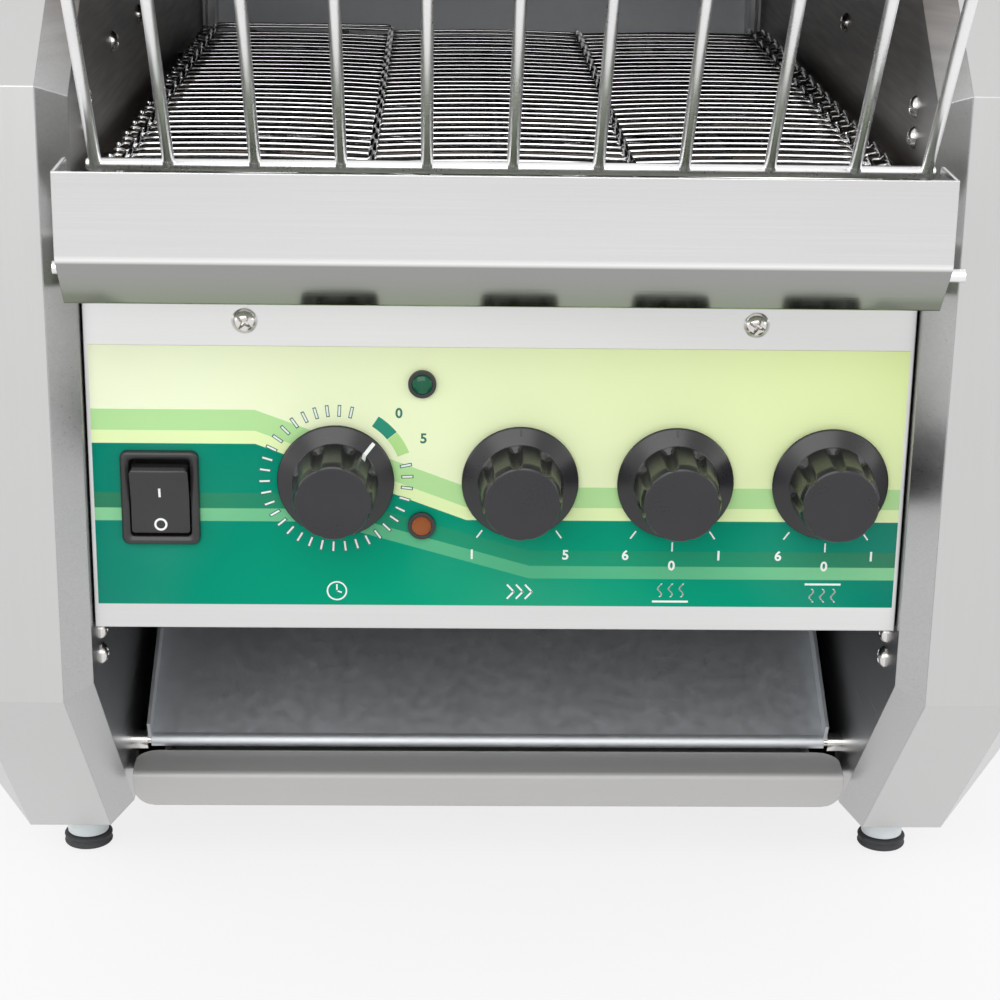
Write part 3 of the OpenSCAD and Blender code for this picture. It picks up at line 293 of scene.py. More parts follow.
class Finish(Nodes):
    """A node material under construction, round its Principled shader."""

    def __init__(self, name, **constants):
        self.material = bpy.data.materials.new(name)
        self.material.use_nodes = True
        super().__init__(self.material.node_tree)
        self.shader = self.tree.nodes["Principled BSDF"]
        self.coords = self.node("ShaderNodeTexCoord", out="Object")
        for socket, number in constants.items():
            self.shader.inputs[socket.replace("_", " ")].default_value = number

    def set(self, socket, given):
        self.feed(self.shader.inputs[socket], given)

    def axes(self):
        """The object's coordinates across, back and up, as three values."""
        place = self.node("ShaderNodeSeparateXYZ", {}, [self.coords])
        return [Value(self, output) for output in place.socket.node.outputs]

    def scaled(self, factors):
        """The object's coordinates stretched by a factor on each axis."""
        return self.node("ShaderNodeVectorMath", {"operation": "MULTIPLY"}, [self.coords, factors])

    def noise(self, scale, detail=2.0, roughness=0.5, where=None):
        inputs = {"Vector": where or self.coords, "Scale": scale, "Detail": detail, "Roughness": roughness}
        return self.node("ShaderNodeTexNoise", {}, inputs, out="Fac")

    def streaks(self, grain, along, across, detail):
        """Noise drawn out along the grain's axis: its scale along it and across it."""
        factors = [along if axis == grain else across for axis in "xyz"]
        return self.noise(1.0, detail, where=self.scaled(factors))

    def mix(self, share, first, second):
        """A colour that goes from the first to the second as the share goes from 0 to 1.

        A Mix node has sockets for each kind of data: 6 and 7 in and 2 out are its colours.
        """
        made = self.tree.nodes.new("ShaderNodeMix")
        made.data_type = "RGBA"
        self.feed(made.inputs["Factor"], share)
        self.feed(made.inputs[6], first)
        self.feed(made.inputs[7], second)
        return Value(self, made.outputs[2])

    def bump(self, height, distance, strength=1.0, under=None):
        inputs = {"Strength": strength, "Distance": distance, "Height": height}
        if under is not None:
            inputs["Normal"] = under
        self.set("Normal", self.node("ShaderNodeBump", {}, inputs, out="Normal"))

    def soft_edges(self, radius):
        return self.node("ShaderNodeBevel", {"samples": 4}, {"Radius": radius})


def grey(tone, warmth=0.0):
    """A grey colour, a little warm where warmth is above 0 and cool below."""
    return (min(1, tone * (1 + warmth)), tone, max(0, tone * (1 - warmth)))


def brushed_steel(name, tone, grain, roughness=0.3, streak=0.06, warmth=0.0, edges=0.5 * MM, broad=0.0,
                  metallic=1.0):
    """Steel brushed along one axis: fine streaks in tone, gloss and relief, and broad clouds."""
    f = Finish(name, Metallic=metallic)
    fine = f.streaks(grain, 18, 2600, 3.0)
    coarse = f.streaks(grain, 5, 420, 2.0)
    cloud = f.noise(9.0, 3.0)
    wide = f.streaks("x", 3, 30, 1.0)
    shade = (fine * 0.5 + coarse * 0.3 + cloud * 0.2 - 0.5) * (2 * streak) + (wide - 0.5) * broad + 0.5
    low, high = grey(tone * 0.86, warmth), grey(min(1.0, tone * 1.14), warmth)
    f.set("Base Color", f.mix(shade.limited(), low, high))
    f.set("Roughness", (fine - 0.5) * 0.16 + (cloud - 0.5) * 0.10 + roughness)
    under = f.soft_edges(edges) if edges else None
    f.bump(fine * 0.7 + coarse * 0.3, 0.02 * MM, 0.35, under)
    return f.material


def folded_steel(name, tone):
    """The guard's steel: a painted highlight on its fold and a glossier slope with painted reflections below it.
    """
    f = Finish(name, Metallic=1.0)
    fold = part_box("front_guard")[0].z + GUARD_FOLD
    up = f.axes()[2]
    fine = f.streaks("x", 14, 2600, 3.0)
    cloud = f.noise(7.0, 3.0)
    # Below the fold the colour turns to a darker grey: a painted dim reflection on the slope.
    below = ((fold - up) * (1 / (2 * MM)) + 0.2).limited()
    # A painted highlight along the fold.
    line = (1 - abs(up - fold) * (1 / (1.4 * MM))).limited()
    shade = (fine * 0.6 + cloud * 0.4 - 0.5) * 0.12 + tone
    face = f.mix(shade, (0, 0, 0), (1, 1, 1))
    # Towards the foot the slope's painted reflection turns green: a painted reflection of the label.
    foot = ((fold - up) * (1 / GUARD_FOLD) - 0.35).limited()
    colour = f.mix(below, face, f.mix(foot, (0.34, 0.34, 0.33), (0.24, 0.30, 0.18)))
    f.set("Base Color", f.mix(line, colour, (0.97, 0.97, 0.96)))
    f.set("Roughness", (fine - 0.5) * 0.1 - below * 0.1 + 0.2)
    f.bump(fine, 0.02 * MM, 0.3, f.soft_edges(0.5 * MM))
    return f.material


def shaded_wall(name, tone):
    """The inner walls' steel: bright at the front edge, with a painted brownish shade deeper in, under the hood.

    The share of painted shade goes from 0 to 1 over 45 mm behind the front edge and over the last
    25 mm up to the panel's top. A painted reflection of the belt's wires lies in the painted shade.
    """
    f = Finish(name, Metallic=1.0)
    _, back, up = f.axes()
    cloud = f.noise(22.0, 3.0)
    lines = f.streaks("y", 14, 1800, 3.0)
    depth = ((back - (PANEL_Y - 14 * MM)) * (1 / (45 * MM)) + (cloud - 0.5) * 0.5).limited()
    height = ((up - (PANEL[1].z - 30 * MM)) * (1 / (25 * MM))).limited()
    # Painted shade: darker deeper in and higher up, under the hood.
    painted_hood_shade = depth * height
    # A painted reflection of the belt's wires.
    painted_wire_reflection = f.noise(1.0, 1.0, where=f.scaled([1, 30, 420]))
    unshaded_steel = f.mix(lines, grey(tone * 0.86), grey(min(1.0, tone * 1.1)))
    painted_shade_colour = f.mix(painted_wire_reflection, (0.10, 0.09, 0.082), (0.30, 0.275, 0.26))
    f.set("Base Color", f.mix(painted_hood_shade, unshaded_steel, painted_shade_colour))
    f.set("Roughness", painted_hood_shade * 0.10 + (lines - 0.5) * 0.12 + 0.3)
    f.bump(lines, 0.03 * MM, 0.5, f.soft_edges(0.5 * MM))
    return f.material


def dull_steel(name, tone, roughness=0.42, metallic=1.0):
    """Unbrushed sheet: blotches, pale specks and short scratches."""
    f = Finish(name, Metallic=metallic)
    cloud = f.noise(14.0, 4.0, 0.6)
    mottle = f.noise(240.0, 3.0, 0.6)
    specks = f.noise(900.0, 1.0) > 0.76
    cell = f.node("ShaderNodeTexVoronoi", {"feature": "DISTANCE_TO_EDGE"},
                  {"Vector": f.scaled([30, 9, 30]), "Scale": 1.0})
    scratch = (cell < 0.004) * (f.noise(60.0) > 0.66)
    shade = (cloud - 0.5) * 0.9 + (mottle - 0.5) * 0.35 + 0.5
    ground = f.mix(shade.limited(), grey(tone * 0.86, -0.03), grey(min(1, tone * 1.14), -0.03))
    f.set("Base Color", f.mix(specks * 0.35 + scratch * 0.25, ground, grey(min(1, tone * 1.9))))
    f.set("Roughness", (mottle - 0.5) * 0.18 + roughness)
    f.bump(mottle, 0.02 * MM, 0.3, f.soft_edges(0.4 * MM))
    return f.material


def bright_wire(name, tone, roughness, grain="x", warmth=0.0):
    """Drawn or polished wire with faint die lines along it and small smudges."""
    f = Finish(name, Metallic=1.0)
    lines = f.streaks(grain, 30, 1800, 2.0)
    smudge = f.noise(45.0, 3.0)
    f.set("Base Color", f.mix(smudge, grey(tone * 0.86, warmth), grey(min(1, tone * 1.1), warmth)))
    f.set("Roughness", (lines - 0.5) * 0.12 + (smudge - 0.5) * 0.12 + roughness)
    f.bump(lines, 0.01 * MM, 0.3)
    return f.material


def turned_metal(name, colour, roughness):
    """Turned, cast or plated inner pieces with fine tool marks."""
    f = Finish(name, Metallic=1.0)
    mark = f.noise(700.0, 3.0, 0.6)
    cloud = f.noise(30.0, 2.0)
    dark = tuple(0.72 * c for c in colour)
    f.set("Base Color", f.mix(cloud * 0.7 + mark * 0.3, dark, colour))
    f.set("Roughness", (mark - 0.5) * 0.2 + roughness)
    f.bump(mark, 0.02 * MM, 0.25)
    return f.material


def moulded_plastic(name, colour, roughness, grain_depth=0.01 * MM, coat=0.0, edges=0.3 * MM):
    """Moulded plastic with a slight grain, flow marks and dust in its gloss."""
    f = Finish(name, Coat_Weight=coat, Coat_Roughness=0.06, Specular_IOR_Level=0.5)
    grain = f.noise(1400.0, 2.0)
    flow = f.noise(60.0, 3.0)
    light = tuple(min(1, c * 1.5 + 0.004) for c in colour)
    f.set("Base Color", f.mix(flow, colour, light))
    f.set("Roughness", (flow - 0.5) * 0.14 + (grain - 0.5) * 0.08 + roughness)
    under = f.soft_edges(edges) if edges else None
    f.bump(grain, grain_depth, 0.4, under)
    return f.material


def tinted_lens(name, colour, glow, facets):
    """Clear tinted plastic over a dark lamp, with a painted glow in it; facets gives it a prism pattern of that
    size.
    """
    f = Finish(name, Coat_Roughness=0.05, Specular_IOR_Level=0.4)
    cloud = f.noise(500.0, 2.0)
    if facets:
        cell = f.node("ShaderNodeTexVoronoi", {"feature": "F1"}, {"Scale": 1 / facets})
        shade = ((cell - 0.25) * 2.2 + cloud * 0.2).limited()
        f.bump(cell, 0.5 * MM, 0.9)
    else:
        shade = (cloud * 0.5 + 0.2).limited()
        f.bump(cloud, 0.03 * MM, 0.2)
    # The glow colour is a painted glow, as no lamp is lit behind the lens.
    f.set("Base Color", f.mix(shade, colour, glow))
    f.set("Roughness", shade * 0.15 + 0.12)
    return f.material


def ceramic(name):
    """Pale fired ceramic with a dry, grainy skin."""
    f = Finish(name, Roughness=0.6)
    grain = f.noise(900.0, 3.0)
    f.set("Base Color", f.mix(grain, (0.70, 0.68, 0.62), (0.86, 0.85, 0.80)))
    f.bump(grain, 0.05 * MM, 0.3)
    return f.material


def rubber(name):
    """Dark grey rubber with a matte, dusty skin."""
    f = Finish(name, Specular_IOR_Level=0.3)
    dust = f.noise(220.0, 4.0, 0.6)
    f.set("Base Color", f.mix(dust, (0.030, 0.030, 0.033), (0.075, 0.077, 0.08)))
    f.set("Roughness", dust * 0.3 + 0.5)
    f.bump(dust, 0.06 * MM, 0.4)
    return f.material


def label_print(name, colours):
    """The printed label: a pale ground over a green field with straight slanted stripes.

    Each edge is a line that is level at the left, falls at one slant and is level again.
    Places are shares of the label's width and height.
    """
    f = Finish(name, Specular_IOR_Level=0.06)
    across, _, up = f.axes()
    across = (across - LABEL[0].x) * (1 / (LABEL[1].x - LABEL[0].x))
    up = (up - LABEL[0].z) * (1 / (LABEL[1].z - LABEL[0].z))
    slant = 0.26

    def edge(level, fall, start):
        return ((across - start) * (1 / slant)).limited() * -fall + level

    colour = f.mix(across, tuple(colours.pale), tuple(colours.lime))
    colour = f.mix((1 - up) * 0.35, colour, (0.86, 0.93, 0.72))
    upper, lower = (0.29, 0.20), (0.22, 0.28)
    stripes = [
        (edge(0.76, *upper), tuple(colours.leaf)),
        (edge(0.68, *upper), (0.74, 0.88, 0.46)),
        (edge(0.63, *upper), tuple(colours.teal)),
        (edge(0.44, *lower), tuple(colours.deep)),
        (edge(0.38, *lower), (0.24, 0.58, 0.30)),
        (edge(0.33, *lower), tuple(colours.teal)),
    ]
    field_edge = stripes[2][0]
    for line, tint in stripes:
        colour = f.mix(up < line, colour, tint)
    grain = f.noise(1200.0, 2.0)
    cloud = f.noise(12.0, 2.0)
    field = (up < field_edge) * across * (1 - across) * 3.2
    colour = f.mix(field.limited() * (1 - up), colour, (0.0, 0.34, 0.18))
    f.set("Base Color", f.mix((cloud - 0.5).limited() * 0.1, colour, (0.9, 0.95, 0.85)))
    f.set("Roughness", (grain - 0.5) * 0.1 + 0.42)
    f.bump(grain, 0.01 * MM, 0.2)
    return f.material


def ink(name, colour):
    """Printing ink with a slightly uneven cover."""
    f = Finish(name, Roughness=0.4)
    cover = f.noise(1500.0, 2.0)
    f.set("Base Color", f.mix(cover, tuple(0.9 * c for c in colour), colour))
    return f.material


def make_finishes(scene):
    """Every finish by the name of the record's material slot or of the print it is for."""
    steel, label = scene.toaster_steel, scene.toaster_label
    return {
        "brushed_steel": brushed_steel("brushed_steel", steel.housing, "z", 0.34, 0.12, 0.005),
        "level_steel": brushed_steel("level_steel", steel.housing, "x", 0.3, 0.1),
        "guard_steel": folded_steel("guard_steel", steel.panel),
        "wall_steel": shaded_wall("wall_steel", steel.housing * 0.8),
        # Interior steel at a near-black tone: painted shade for the dark inside of the cabinet.
        "shaded_interior_steel": dull_steel("shaded_interior_steel", 0.04, 0.55, 0.9),
        "panel_steel": brushed_steel("panel_steel", steel.panel, "x", 0.33, 0.2, 0.004, broad=1.6),
        "chute_steel": dull_steel("chute_steel", steel.chute, 0.62),
        "tray_steel": brushed_steel("tray_steel", 0.5, "x", 0.45, 0.16, 0.012, metallic=0.15),
        "screw_steel": bright_wire("screw_steel", 0.72, 0.2, "z", 0.03),
        "belt_wire": bright_wire("belt_wire", 0.9, 0.14, "x"),
        "rack_wire": bright_wire("rack_wire", 0.9, 0.3, "z"),
        "shaft_steel": turned_metal("shaft_steel", grey(0.42), 0.32),
        "chain_steel": turned_metal("chain_steel", grey(0.16, 0.04), 0.4),
        "bronze": turned_metal("bronze", (0.50, 0.31, 0.12), 0.4),
        "heater_sheath": turned_metal("heater_sheath", (0.20, 0.16, 0.13), 0.5),
        "white_ceramic": ceramic("white_ceramic"),
        "motor_paint": moulded_plastic("motor_paint", (0.05, 0.06, 0.07), 0.4),
        "control_metal": turned_metal("control_metal", grey(0.5, 0.02), 0.36),
        "label_film": label_print("label_film", label),
        "black_plastic": moulded_plastic("black_plastic", (0.012, 0.012, 0.014), 0.3),
        "satin_plastic": moulded_plastic("satin_plastic", (0.018, 0.018, 0.019), 0.36, 0.03 * MM),
        "green_lens": tinted_lens("green_lens", (0.0, 0.045, 0.02), (0.0, 0.16, 0.07), 0),
        "amber_lens": tinted_lens("amber_lens", (0.14, 0.015, 0.002), (1.0, 0.30, 0.09), 1.0 * MM),
        "collar_plastic": moulded_plastic("collar_plastic", (0.62, 0.66, 0.68), 0.35),
        "pad_rubber": rubber("pad_rubber"),
        "white_ink": ink("white_ink", (0.88, 0.90, 0.88)),
        "green_ink": ink("green_ink", (0.02, 0.16, 0.11)),
        "teal_ink": ink("teal_ink", (0.0, 0.26, 0.16)),
        "leaf_ink": ink("leaf_ink", (0.44, 0.74, 0.26)),
    }


# Filled by the first operator, for the pieces that the others make.
FINISHES = {}


# ---- mesh tools ----


def grid_quads(rows, columns, wrap_rows=False, wrap_columns=False):
    """The quads between neighbours on a grid of points, round the end where a side wraps."""
    i = np.arange(rows if wrap_rows else rows - 1)
    j = np.arange(columns if wrap_columns else columns - 1)
    i, j = (side.ravel() for side in np.meshgrid(i, j, indexing="ij"))
    low, high = i * columns, (i + 1) % rows * columns
    after = (j + 1) % columns
    return np.stack([low + j, low + after, high + after, high + j], -1)


class Shape:
    """Points and faces gathered from several surfaces, ready to become one piece."""

    def __init__(self):
        self.points = []
        self.faces = []
        self.count = 0

    def add(self, points, quads):
        points = np.asarray(points, float).reshape(-1, 3)
        self.points.append(points)
        self.faces.append(np.asarray(quads) + self.count)
        self.count += len(points)

    def grid(self, points, wrap_rows=False, wrap_columns=False):
        """Adds a surface given as an array of rows, columns and three coordinates."""
        rows, columns = points.shape[:2]
        self.add(points, grid_quads(rows, columns, wrap_rows, wrap_columns))

    def cap(self, points):
        """Adds one flat face with a corner at each point."""
        self.add(points, [np.arange(len(points))])

    def piece(self, name, body, slot, finish=None, sharp=35.0, replaces=()):
        """Merges doubles, turns the faces outwards and puts the piece on its body."""
        mesh = bpy.data.meshes.new(name)
        points = np.concatenate(self.points)
        mesh.vertices.add(len(points))
        mesh.vertices.foreach_set("co", points.astype(np.float32).ravel())
        sizes = np.concatenate([np.full(len(f), f.shape[1]) for f in self.faces])
        corners = np.concatenate([f.ravel() for f in self.faces]).astype(np.int32)
        mesh.loops.add(len(corners))
        mesh.loops.foreach_set("vertex_index", corners)
        mesh.polygons.add(len(sizes))
        starts = np.concatenate([[0], np.cumsum(sizes)[:-1]]).astype(np.int32)
        mesh.polygons.foreach_set("loop_start", starts)
        mesh.update(calc_edges=True)
        made = bmesh.new()
        made.from_mesh(mesh)
        bmesh.ops.remove_doubles(made, verts=made.verts, dist=0.001 * MM)
        bmesh.ops.recalc_face_normals(made, faces=made.faces)
        made.to_mesh(mesh)
        made.free()
        mesh.polygons.foreach_set("use_smooth", np.ones(len(mesh.polygons), bool))
        mesh.set_sharp_from_angle(angle=math.radians(sharp))
        mesh.materials.append(FINISHES[finish or slot])
        piece = bpy.data.objects.new(name, mesh)
        bpy.context.scene.collection.objects.link(piece)
        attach(piece, body)
        if replaces:
            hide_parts(*replaces)


def arc_points(centre, radius, start, end, steps):
    """Points on a circle in a plane, from one angle to another, in degrees."""
    angles = np.radians(np.linspace(start, end, steps))
    return np.array(centre) + radius * np.stack([np.cos(angles), np.sin(angles)], -1)


def distances(line):
    """How far along a line each of its points is."""
    return np.concatenate([[0], np.cumsum(np.linalg.norm(np.diff(line, axis=0), axis=1))])


def rounded(corners, radii, steps=7):
    """A line through corners whose bends are arcs.

    At each inner corner the arc touches both sides at radius * tan(half the turn) from it.
    """
    corners = np.asarray(corners, float)
    made = [corners[:1]]
    for before, corner, after, radius in zip(corners, corners[1:], corners[2:], radii):
        come, go = corner - before, after - corner
        come, go = come / np.linalg.norm(come), go / np.linalg.norm(go)
        turn = math.acos(np.clip(come @ go, -1, 1))
        reach = radius * math.tan(turn / 2)
        middle = corner + (go - come) / np.linalg.norm(go - come) * radius / math.cos(turn / 2)
        start, end = corner - come * reach - middle, corner + go * reach - middle
        share = np.linspace(0, 1, steps)[:, None]
        arc = start * np.sin((1 - share) * turn) + end * np.sin(share * turn)
        made.append(middle + arc / math.sin(turn))
    made.append(corners[-1:])
    return np.concatenate(made)


def side_normals(line):
    """Unit normals to the left of a line in a plane, averaged at each point."""
    step = np.diff(line, axis=0)
    step /= np.linalg.norm(step, axis=1)[:, None]
    ahead = np.concatenate([step, step[-1:]])
    behind = np.concatenate([step[:1], step])
    middle = ahead + behind
    middle /= np.einsum("ij,ij->i", middle, ahead)[:, None]
    return np.stack([-middle[:, 1], middle[:, 0]], -1)


def bent_sheet(shape, line, thickness, half_width):
    """A bent sheet: the line in (y, z), thickened to its left and carried across x.

    half_width is one number, or one for each point where the sheet's ends are cut round.
    """
    left = line + side_normals(line) * thickness
    loop = np.concatenate([line, left[::-1]])
    half = np.broadcast_to(np.asarray(half_width, float), len(line))
    half = np.concatenate([half, half[::-1]])
    ends = [np.column_stack([side * half, loop]) for side in (-1, 1)]
    shape.grid(np.stack(ends), wrap_columns=True)
    count = len(line)
    for end in ends:
        shape.grid(np.stack([end[:count], end[:count - 1:-1]]))


def tube(shape, path, radius, sides=12, capped=True):
    """A round bar along a path of points, with its ring carried on without twist."""
    path = np.asarray(path, float)
    step = np.gradient(path, axis=0)
    step /= np.linalg.norm(step, axis=1)[:, None]
    first = np.cross(step[0], [0.31, 0.52, 0.79])
    across = [first / np.linalg.norm(first)]
    for direction in step[1:]:
        kept = across[-1] - direction * (across[-1] @ direction)
        across.append(kept / np.linalg.norm(kept))
    across = np.array(across)
    other = np.cross(step, across)
    turn = np.radians(np.arange(sides) * 360 / sides)
    radius = np.broadcast_to(np.asarray(radius, float), len(path))[:, None, None]
    ring = across[:, None] * np.cos(turn)[None, :, None] + other[:, None] * np.sin(turn)[None, :, None]
    points = path[:, None] + ring * radius
    if capped:
        points = np.concatenate([path[None, :1].repeat(sides, 1), points, path[None, -1:].repeat(sides, 1)])
    shape.grid(points, wrap_columns=True)


def revolved(shape, profile, centre, steps=48, swell=None):
    """A profile of (radius, distance out) turned about an axis that points along -y.

    swell, where given, takes the arrays of radius, distance and angle and returns the radius.
    """
    profile = np.asarray(profile, float)
    turn = np.radians(np.arange(steps) * 360 / steps)[None, :]
    radius = np.repeat(profile[:, :1], steps, 1)
    out = np.repeat(profile[:, 1:], steps, 1)
    if swell:
        radius = swell(radius, out, turn)
    x = centre[0] + radius * np.sin(turn)
    z = centre[2] + radius * np.cos(turn)
    shape.grid(np.stack([x, centre[1] - out, z], -1), wrap_columns=True)


def flat_prisms(shape, outlines, front, back):
    """Flat marks: outlines of (x, z) with the same number of corners, as thin solid slabs."""
    outlines = np.asarray(outlines, float)
    many, corners = outlines.shape[:2]
    sides = [np.insert(outlines, 1, y, axis=2) for y in (front, back)]
    points = np.concatenate([side.reshape(-1, 3) for side in sides])
    first = np.arange(many)[:, None] * corners + np.arange(corners)
    after = np.roll(first, -1, axis=1)
    behind = many * corners
    shape.faces.append(first + shape.count)
    shape.faces.append(first[:, ::-1] + behind + shape.count)
    walls = np.stack([first, first + behind, after + behind, after], -1).reshape(-1, 4)
    shape.add(points, walls)


def ring_band(shape, centre, inner, outer, start, end, steps, front, back):
    """A thin ring, or part of one, about a centre, by angles clockwise from the top."""
    full = end - start >= 360
    angles = np.radians(np.linspace(start, end, steps + 1)[:steps if full else None])
    way = np.stack([np.sin(angles), np.cos(angles)], -1)
    near, far = centre + way * inner, centre + way * outer
    corners = ((near, front), (far, front), (far, back), (near, back))
    band = np.stack([np.insert(flat, 1, y, axis=1) for flat, y in corners], 1)
    shape.grid(band, wrap_rows=full, wrap_columns=True)
    if not full:
        for tip in (band[0], band[-1]):
            shape.cap(tip)


def strokes(centre, inner, outer, width, angles):
    """Straight dial marks as quads of (x, z), by angles clockwise from the top."""
    angles = np.radians(np.asarray(angles, float))
    way = np.stack([np.sin(angles), np.cos(angles)], -1)
    side = np.stack([way[:, 1], -way[:, 0]], -1) * width / 2
    near, far = centre + way * inner, centre + way * outer
    return np.stack([near - side, near + side, far + side, far - side], 1)


# ---- pieces ----


def bare(node, finish):
    """Gives a CAD node its finish."""
    mesh = frame["nodes"][node].data
    mesh.materials.clear()
    mesh.materials.append(FINISHES[finish])


class TOASTER_OT_frame_finishes(bpy.types.Operator):
    """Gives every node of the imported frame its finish"""

    bl_idname = "toaster.frame_finishes"
    bl_label = "Frame finishes"

    def execute(self, context):
        FINISHES.update(make_finishes(context.scene))
        for row in frame["record"]["subparts"]:
            bare(row["node"], row["material_slot"])
        own = {
            "satin_plastic": ("power_switch", "power_rocker", "lamp_bezels", "cord_gland"),
            "level_steel": ("front_guard", "landing_tray", "top_cover"),
            # The pieces inside the cabinet take the near-black steel, as painted shade.
            "shaded_interior_steel": ("crumb_pan", "upper_reflector", "belt_rails", "tray_guides", "control_box"),
        }
        for finish, nodes in own.items():
            for node in nodes:
                bare(node, finish)
        return {"FINISHED"}


def hook_path(middle, own, onward, goal, wire):
    """A hook of the belt wire: out over the next strand, round it and back underneath.

    own and onward are the wire's places along the belt before and after the hook, and goal
    is the place of the strand that it holds. The wrap is a half circle in (y, z).
    """
    lift = wire * 1.04
    turn = np.radians(np.linspace(90, -90, 7))
    wrap = np.column_stack([np.full(7, middle), goal + lift * np.cos(turn), lift * np.sin(turn)])
    side = np.array([0.65, 0.45, 0.1, 0]) * wire
    rise = np.array([0, 0.1, 0.7, 2.4]) * wire
    height = np.array([0, 0.05, 0.35, 0.8]) * lift
    out = np.column_stack([middle - side, own + rise, height])
    back = np.column_stack([middle + side, onward + rise, -height])[::-1]
    return np.concatenate([out, wrap, back])


def strand_path(settings, width, pitch, side):
    """The centre line of one belt strand, from edge to edge.

    Straight lanes join at hooks that hold the next strand; strands hook to one side and to
    the other in turn, so that the hooks stand side by side. The strand hangs a little at its
    joints: it is lower by the sag and further back by the bow, with the cube of the share
    of the lane that is left to the joint.
    """
    wire = settings.wire
    shift = side * wire * 0.35
    edge = width / 2
    inner, outer = settings.lane / 2, edge - settings.edge_lane
    joints = [-outer, -inner, inner, outer]
    droop = np.array([0, 0.5, 1, 1, 0.5, 0])
    lanes = np.array([0.4, -1.0, 0.0, 1.0, -0.4]) * settings.lane_step
    end = edge - wire * 1.9
    places = [-end] + joints + [end]
    before = np.concatenate([lanes[:1], lanes])
    after = np.concatenate([lanes, lanes[-1:]])
    held = after if side > 0 else before
    hooks = []
    for place, own, onward, holds, amount in zip(places, before, after, held, droop):
        hook = hook_path(place + shift, own, onward, pitch + holds, wire)
        hook[:, 1] -= settings.bow * amount
        hook[:, 2] -= settings.sag * amount
        hooks.append(hook)
    parts = [hooks[0][7:]]
    for left, hook, low, high in zip(hooks, hooks[1:], droop, droop[1:]):
        share = np.linspace(0, 1, 18)[1:-1, None]
        ends = np.array([0, settings.bow, settings.sag])
        level = left[-1] + low * ends + share * (hook[0] + high * ends - left[-1] - low * ends)
        parts += [level - ends * (low * (1 - share) ** 3 + high * share**3), hook]
    parts[-1] = hooks[-1][:-7]
    return np.concatenate(parts)


def loop_places(links, teeth, pitch, radius):
    """The place (y, z) and turn of each member of a loop round two equal wheels.

    Over the top run, half round the back wheel, back along the bottom and round the front.
    """
    k = np.arange(2 * links + teeth)
    half, turn, run = teeth // 2, 2 * math.pi / teeth, links * pitch
    back, low = k - links, k - links - half
    front = k - 2 * links - half
    cases = [k < links, k < links + half, k < 2 * links + half]
    y = np.select(cases, [k * pitch, run + radius * np.sin(back * turn), run - low * pitch],
                  -radius * np.sin(front * turn))
    z = np.select(cases, [radius + 0 * k, radius * np.cos(back * turn), -radius + 0 * k],
                  -radius * np.cos(front * turn))
    angle = np.select(cases, [0 * k, -(back + 0.5) * turn, -math.pi + 0 * k],
                      -math.pi - (front + 0.5) * turn)
    return y, z, angle


class TOASTER_OT_belt(bpy.types.Operator):
    """Builds the wire belt: strands of one bent wire, each hooked round the next"""

    bl_idname = "toaster.belt"
    bl_label = "Wire belt"

    def execute(self, context):
        settings = context.scene.toaster_belt
        idler, drive = joint_place("idler_turn"), joint_place("belt_drive")
        pitch = (drive.y - idler.y) / settings.links
        radius = pitch / (2 * math.sin(math.pi / settings.teeth))
        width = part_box("wire_belt")[1].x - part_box("wire_belt")[0].x
        y, z, angle = loop_places(settings.links, settings.teeth, pitch, radius)
        made = Shape()
        wobble = np.random.default_rng(7)
        for side in (-1, 1):
            strand = Shape()
            tube(strand, strand_path(settings, width, pitch, side), settings.wire / 2, 6)
            points, faces = strand.points[0], strand.faces[0]
            chosen = np.arange(len(y)) % 2 == (side > 0)
            cos, sin = np.cos(angle[chosen])[:, None], np.sin(angle[chosen])[:, None]
            drop = wobble.normal(0, 0.12 * MM, (chosen.sum(), 1)) * np.cos(points[None, :, 0] * 40)
            moved = np.stack([
                np.broadcast_to(points[:, 0], (chosen.sum(), len(points))),
                idler.y + y[chosen][:, None] + points[:, 1] * cos - (points[:, 2] + drop) * sin,
                idler.z + z[chosen][:, None] + points[:, 1] * sin + (points[:, 2] + drop) * cos], -1)
            offsets = np.arange(chosen.sum())[:, None, None] * len(points)
            made.add(moved, (faces[None] + offsets).reshape(-1, 4))
        made.piece("belt_strands", "cabinet", "belt_wire", sharp=80, replaces=["wire_belt"])
        return {"FINISHED"}


def knob_profile(settings):
    """The knob's side from its hollow back, over the skirt and grip, to the face's middle."""
    skirt, grip, height = settings.skirt, settings.grip, settings.height
    waist = 4.2 * MM
    back = np.array([[0, 3.2], [8.2, 3.2], [8.4, 0.3], [8.8, 0]]) * MM
    rim = arc_points((skirt - 0.7 * MM, 0.7 * MM), 0.7 * MM, -90, 60, 6)
    cone = np.linspace([skirt - 0.5 * MM, 1.4 * MM], [grip + 0.35 * MM, waist - 0.2 * MM], 8)
    hollow = np.array([[grip + 0.15 * MM, waist - 0.1 * MM], [grip, waist + 0.1 * MM]])
    side = np.linspace([grip, waist + 0.4 * MM], [grip - 0.9 * MM, height - 2.6 * MM], 16)
    brow = np.array([[1.0, 2.4], [1.45, 0.75], [1.6, 0.5], [1.9, 0.25]]) * MM * [-1, -1] + [grip, height]
    face = np.linspace([grip - 2.4 * MM, height - 0.12 * MM], [0, height], 12)
    return np.concatenate([back, rim, cone, hollow, side, brow, face])


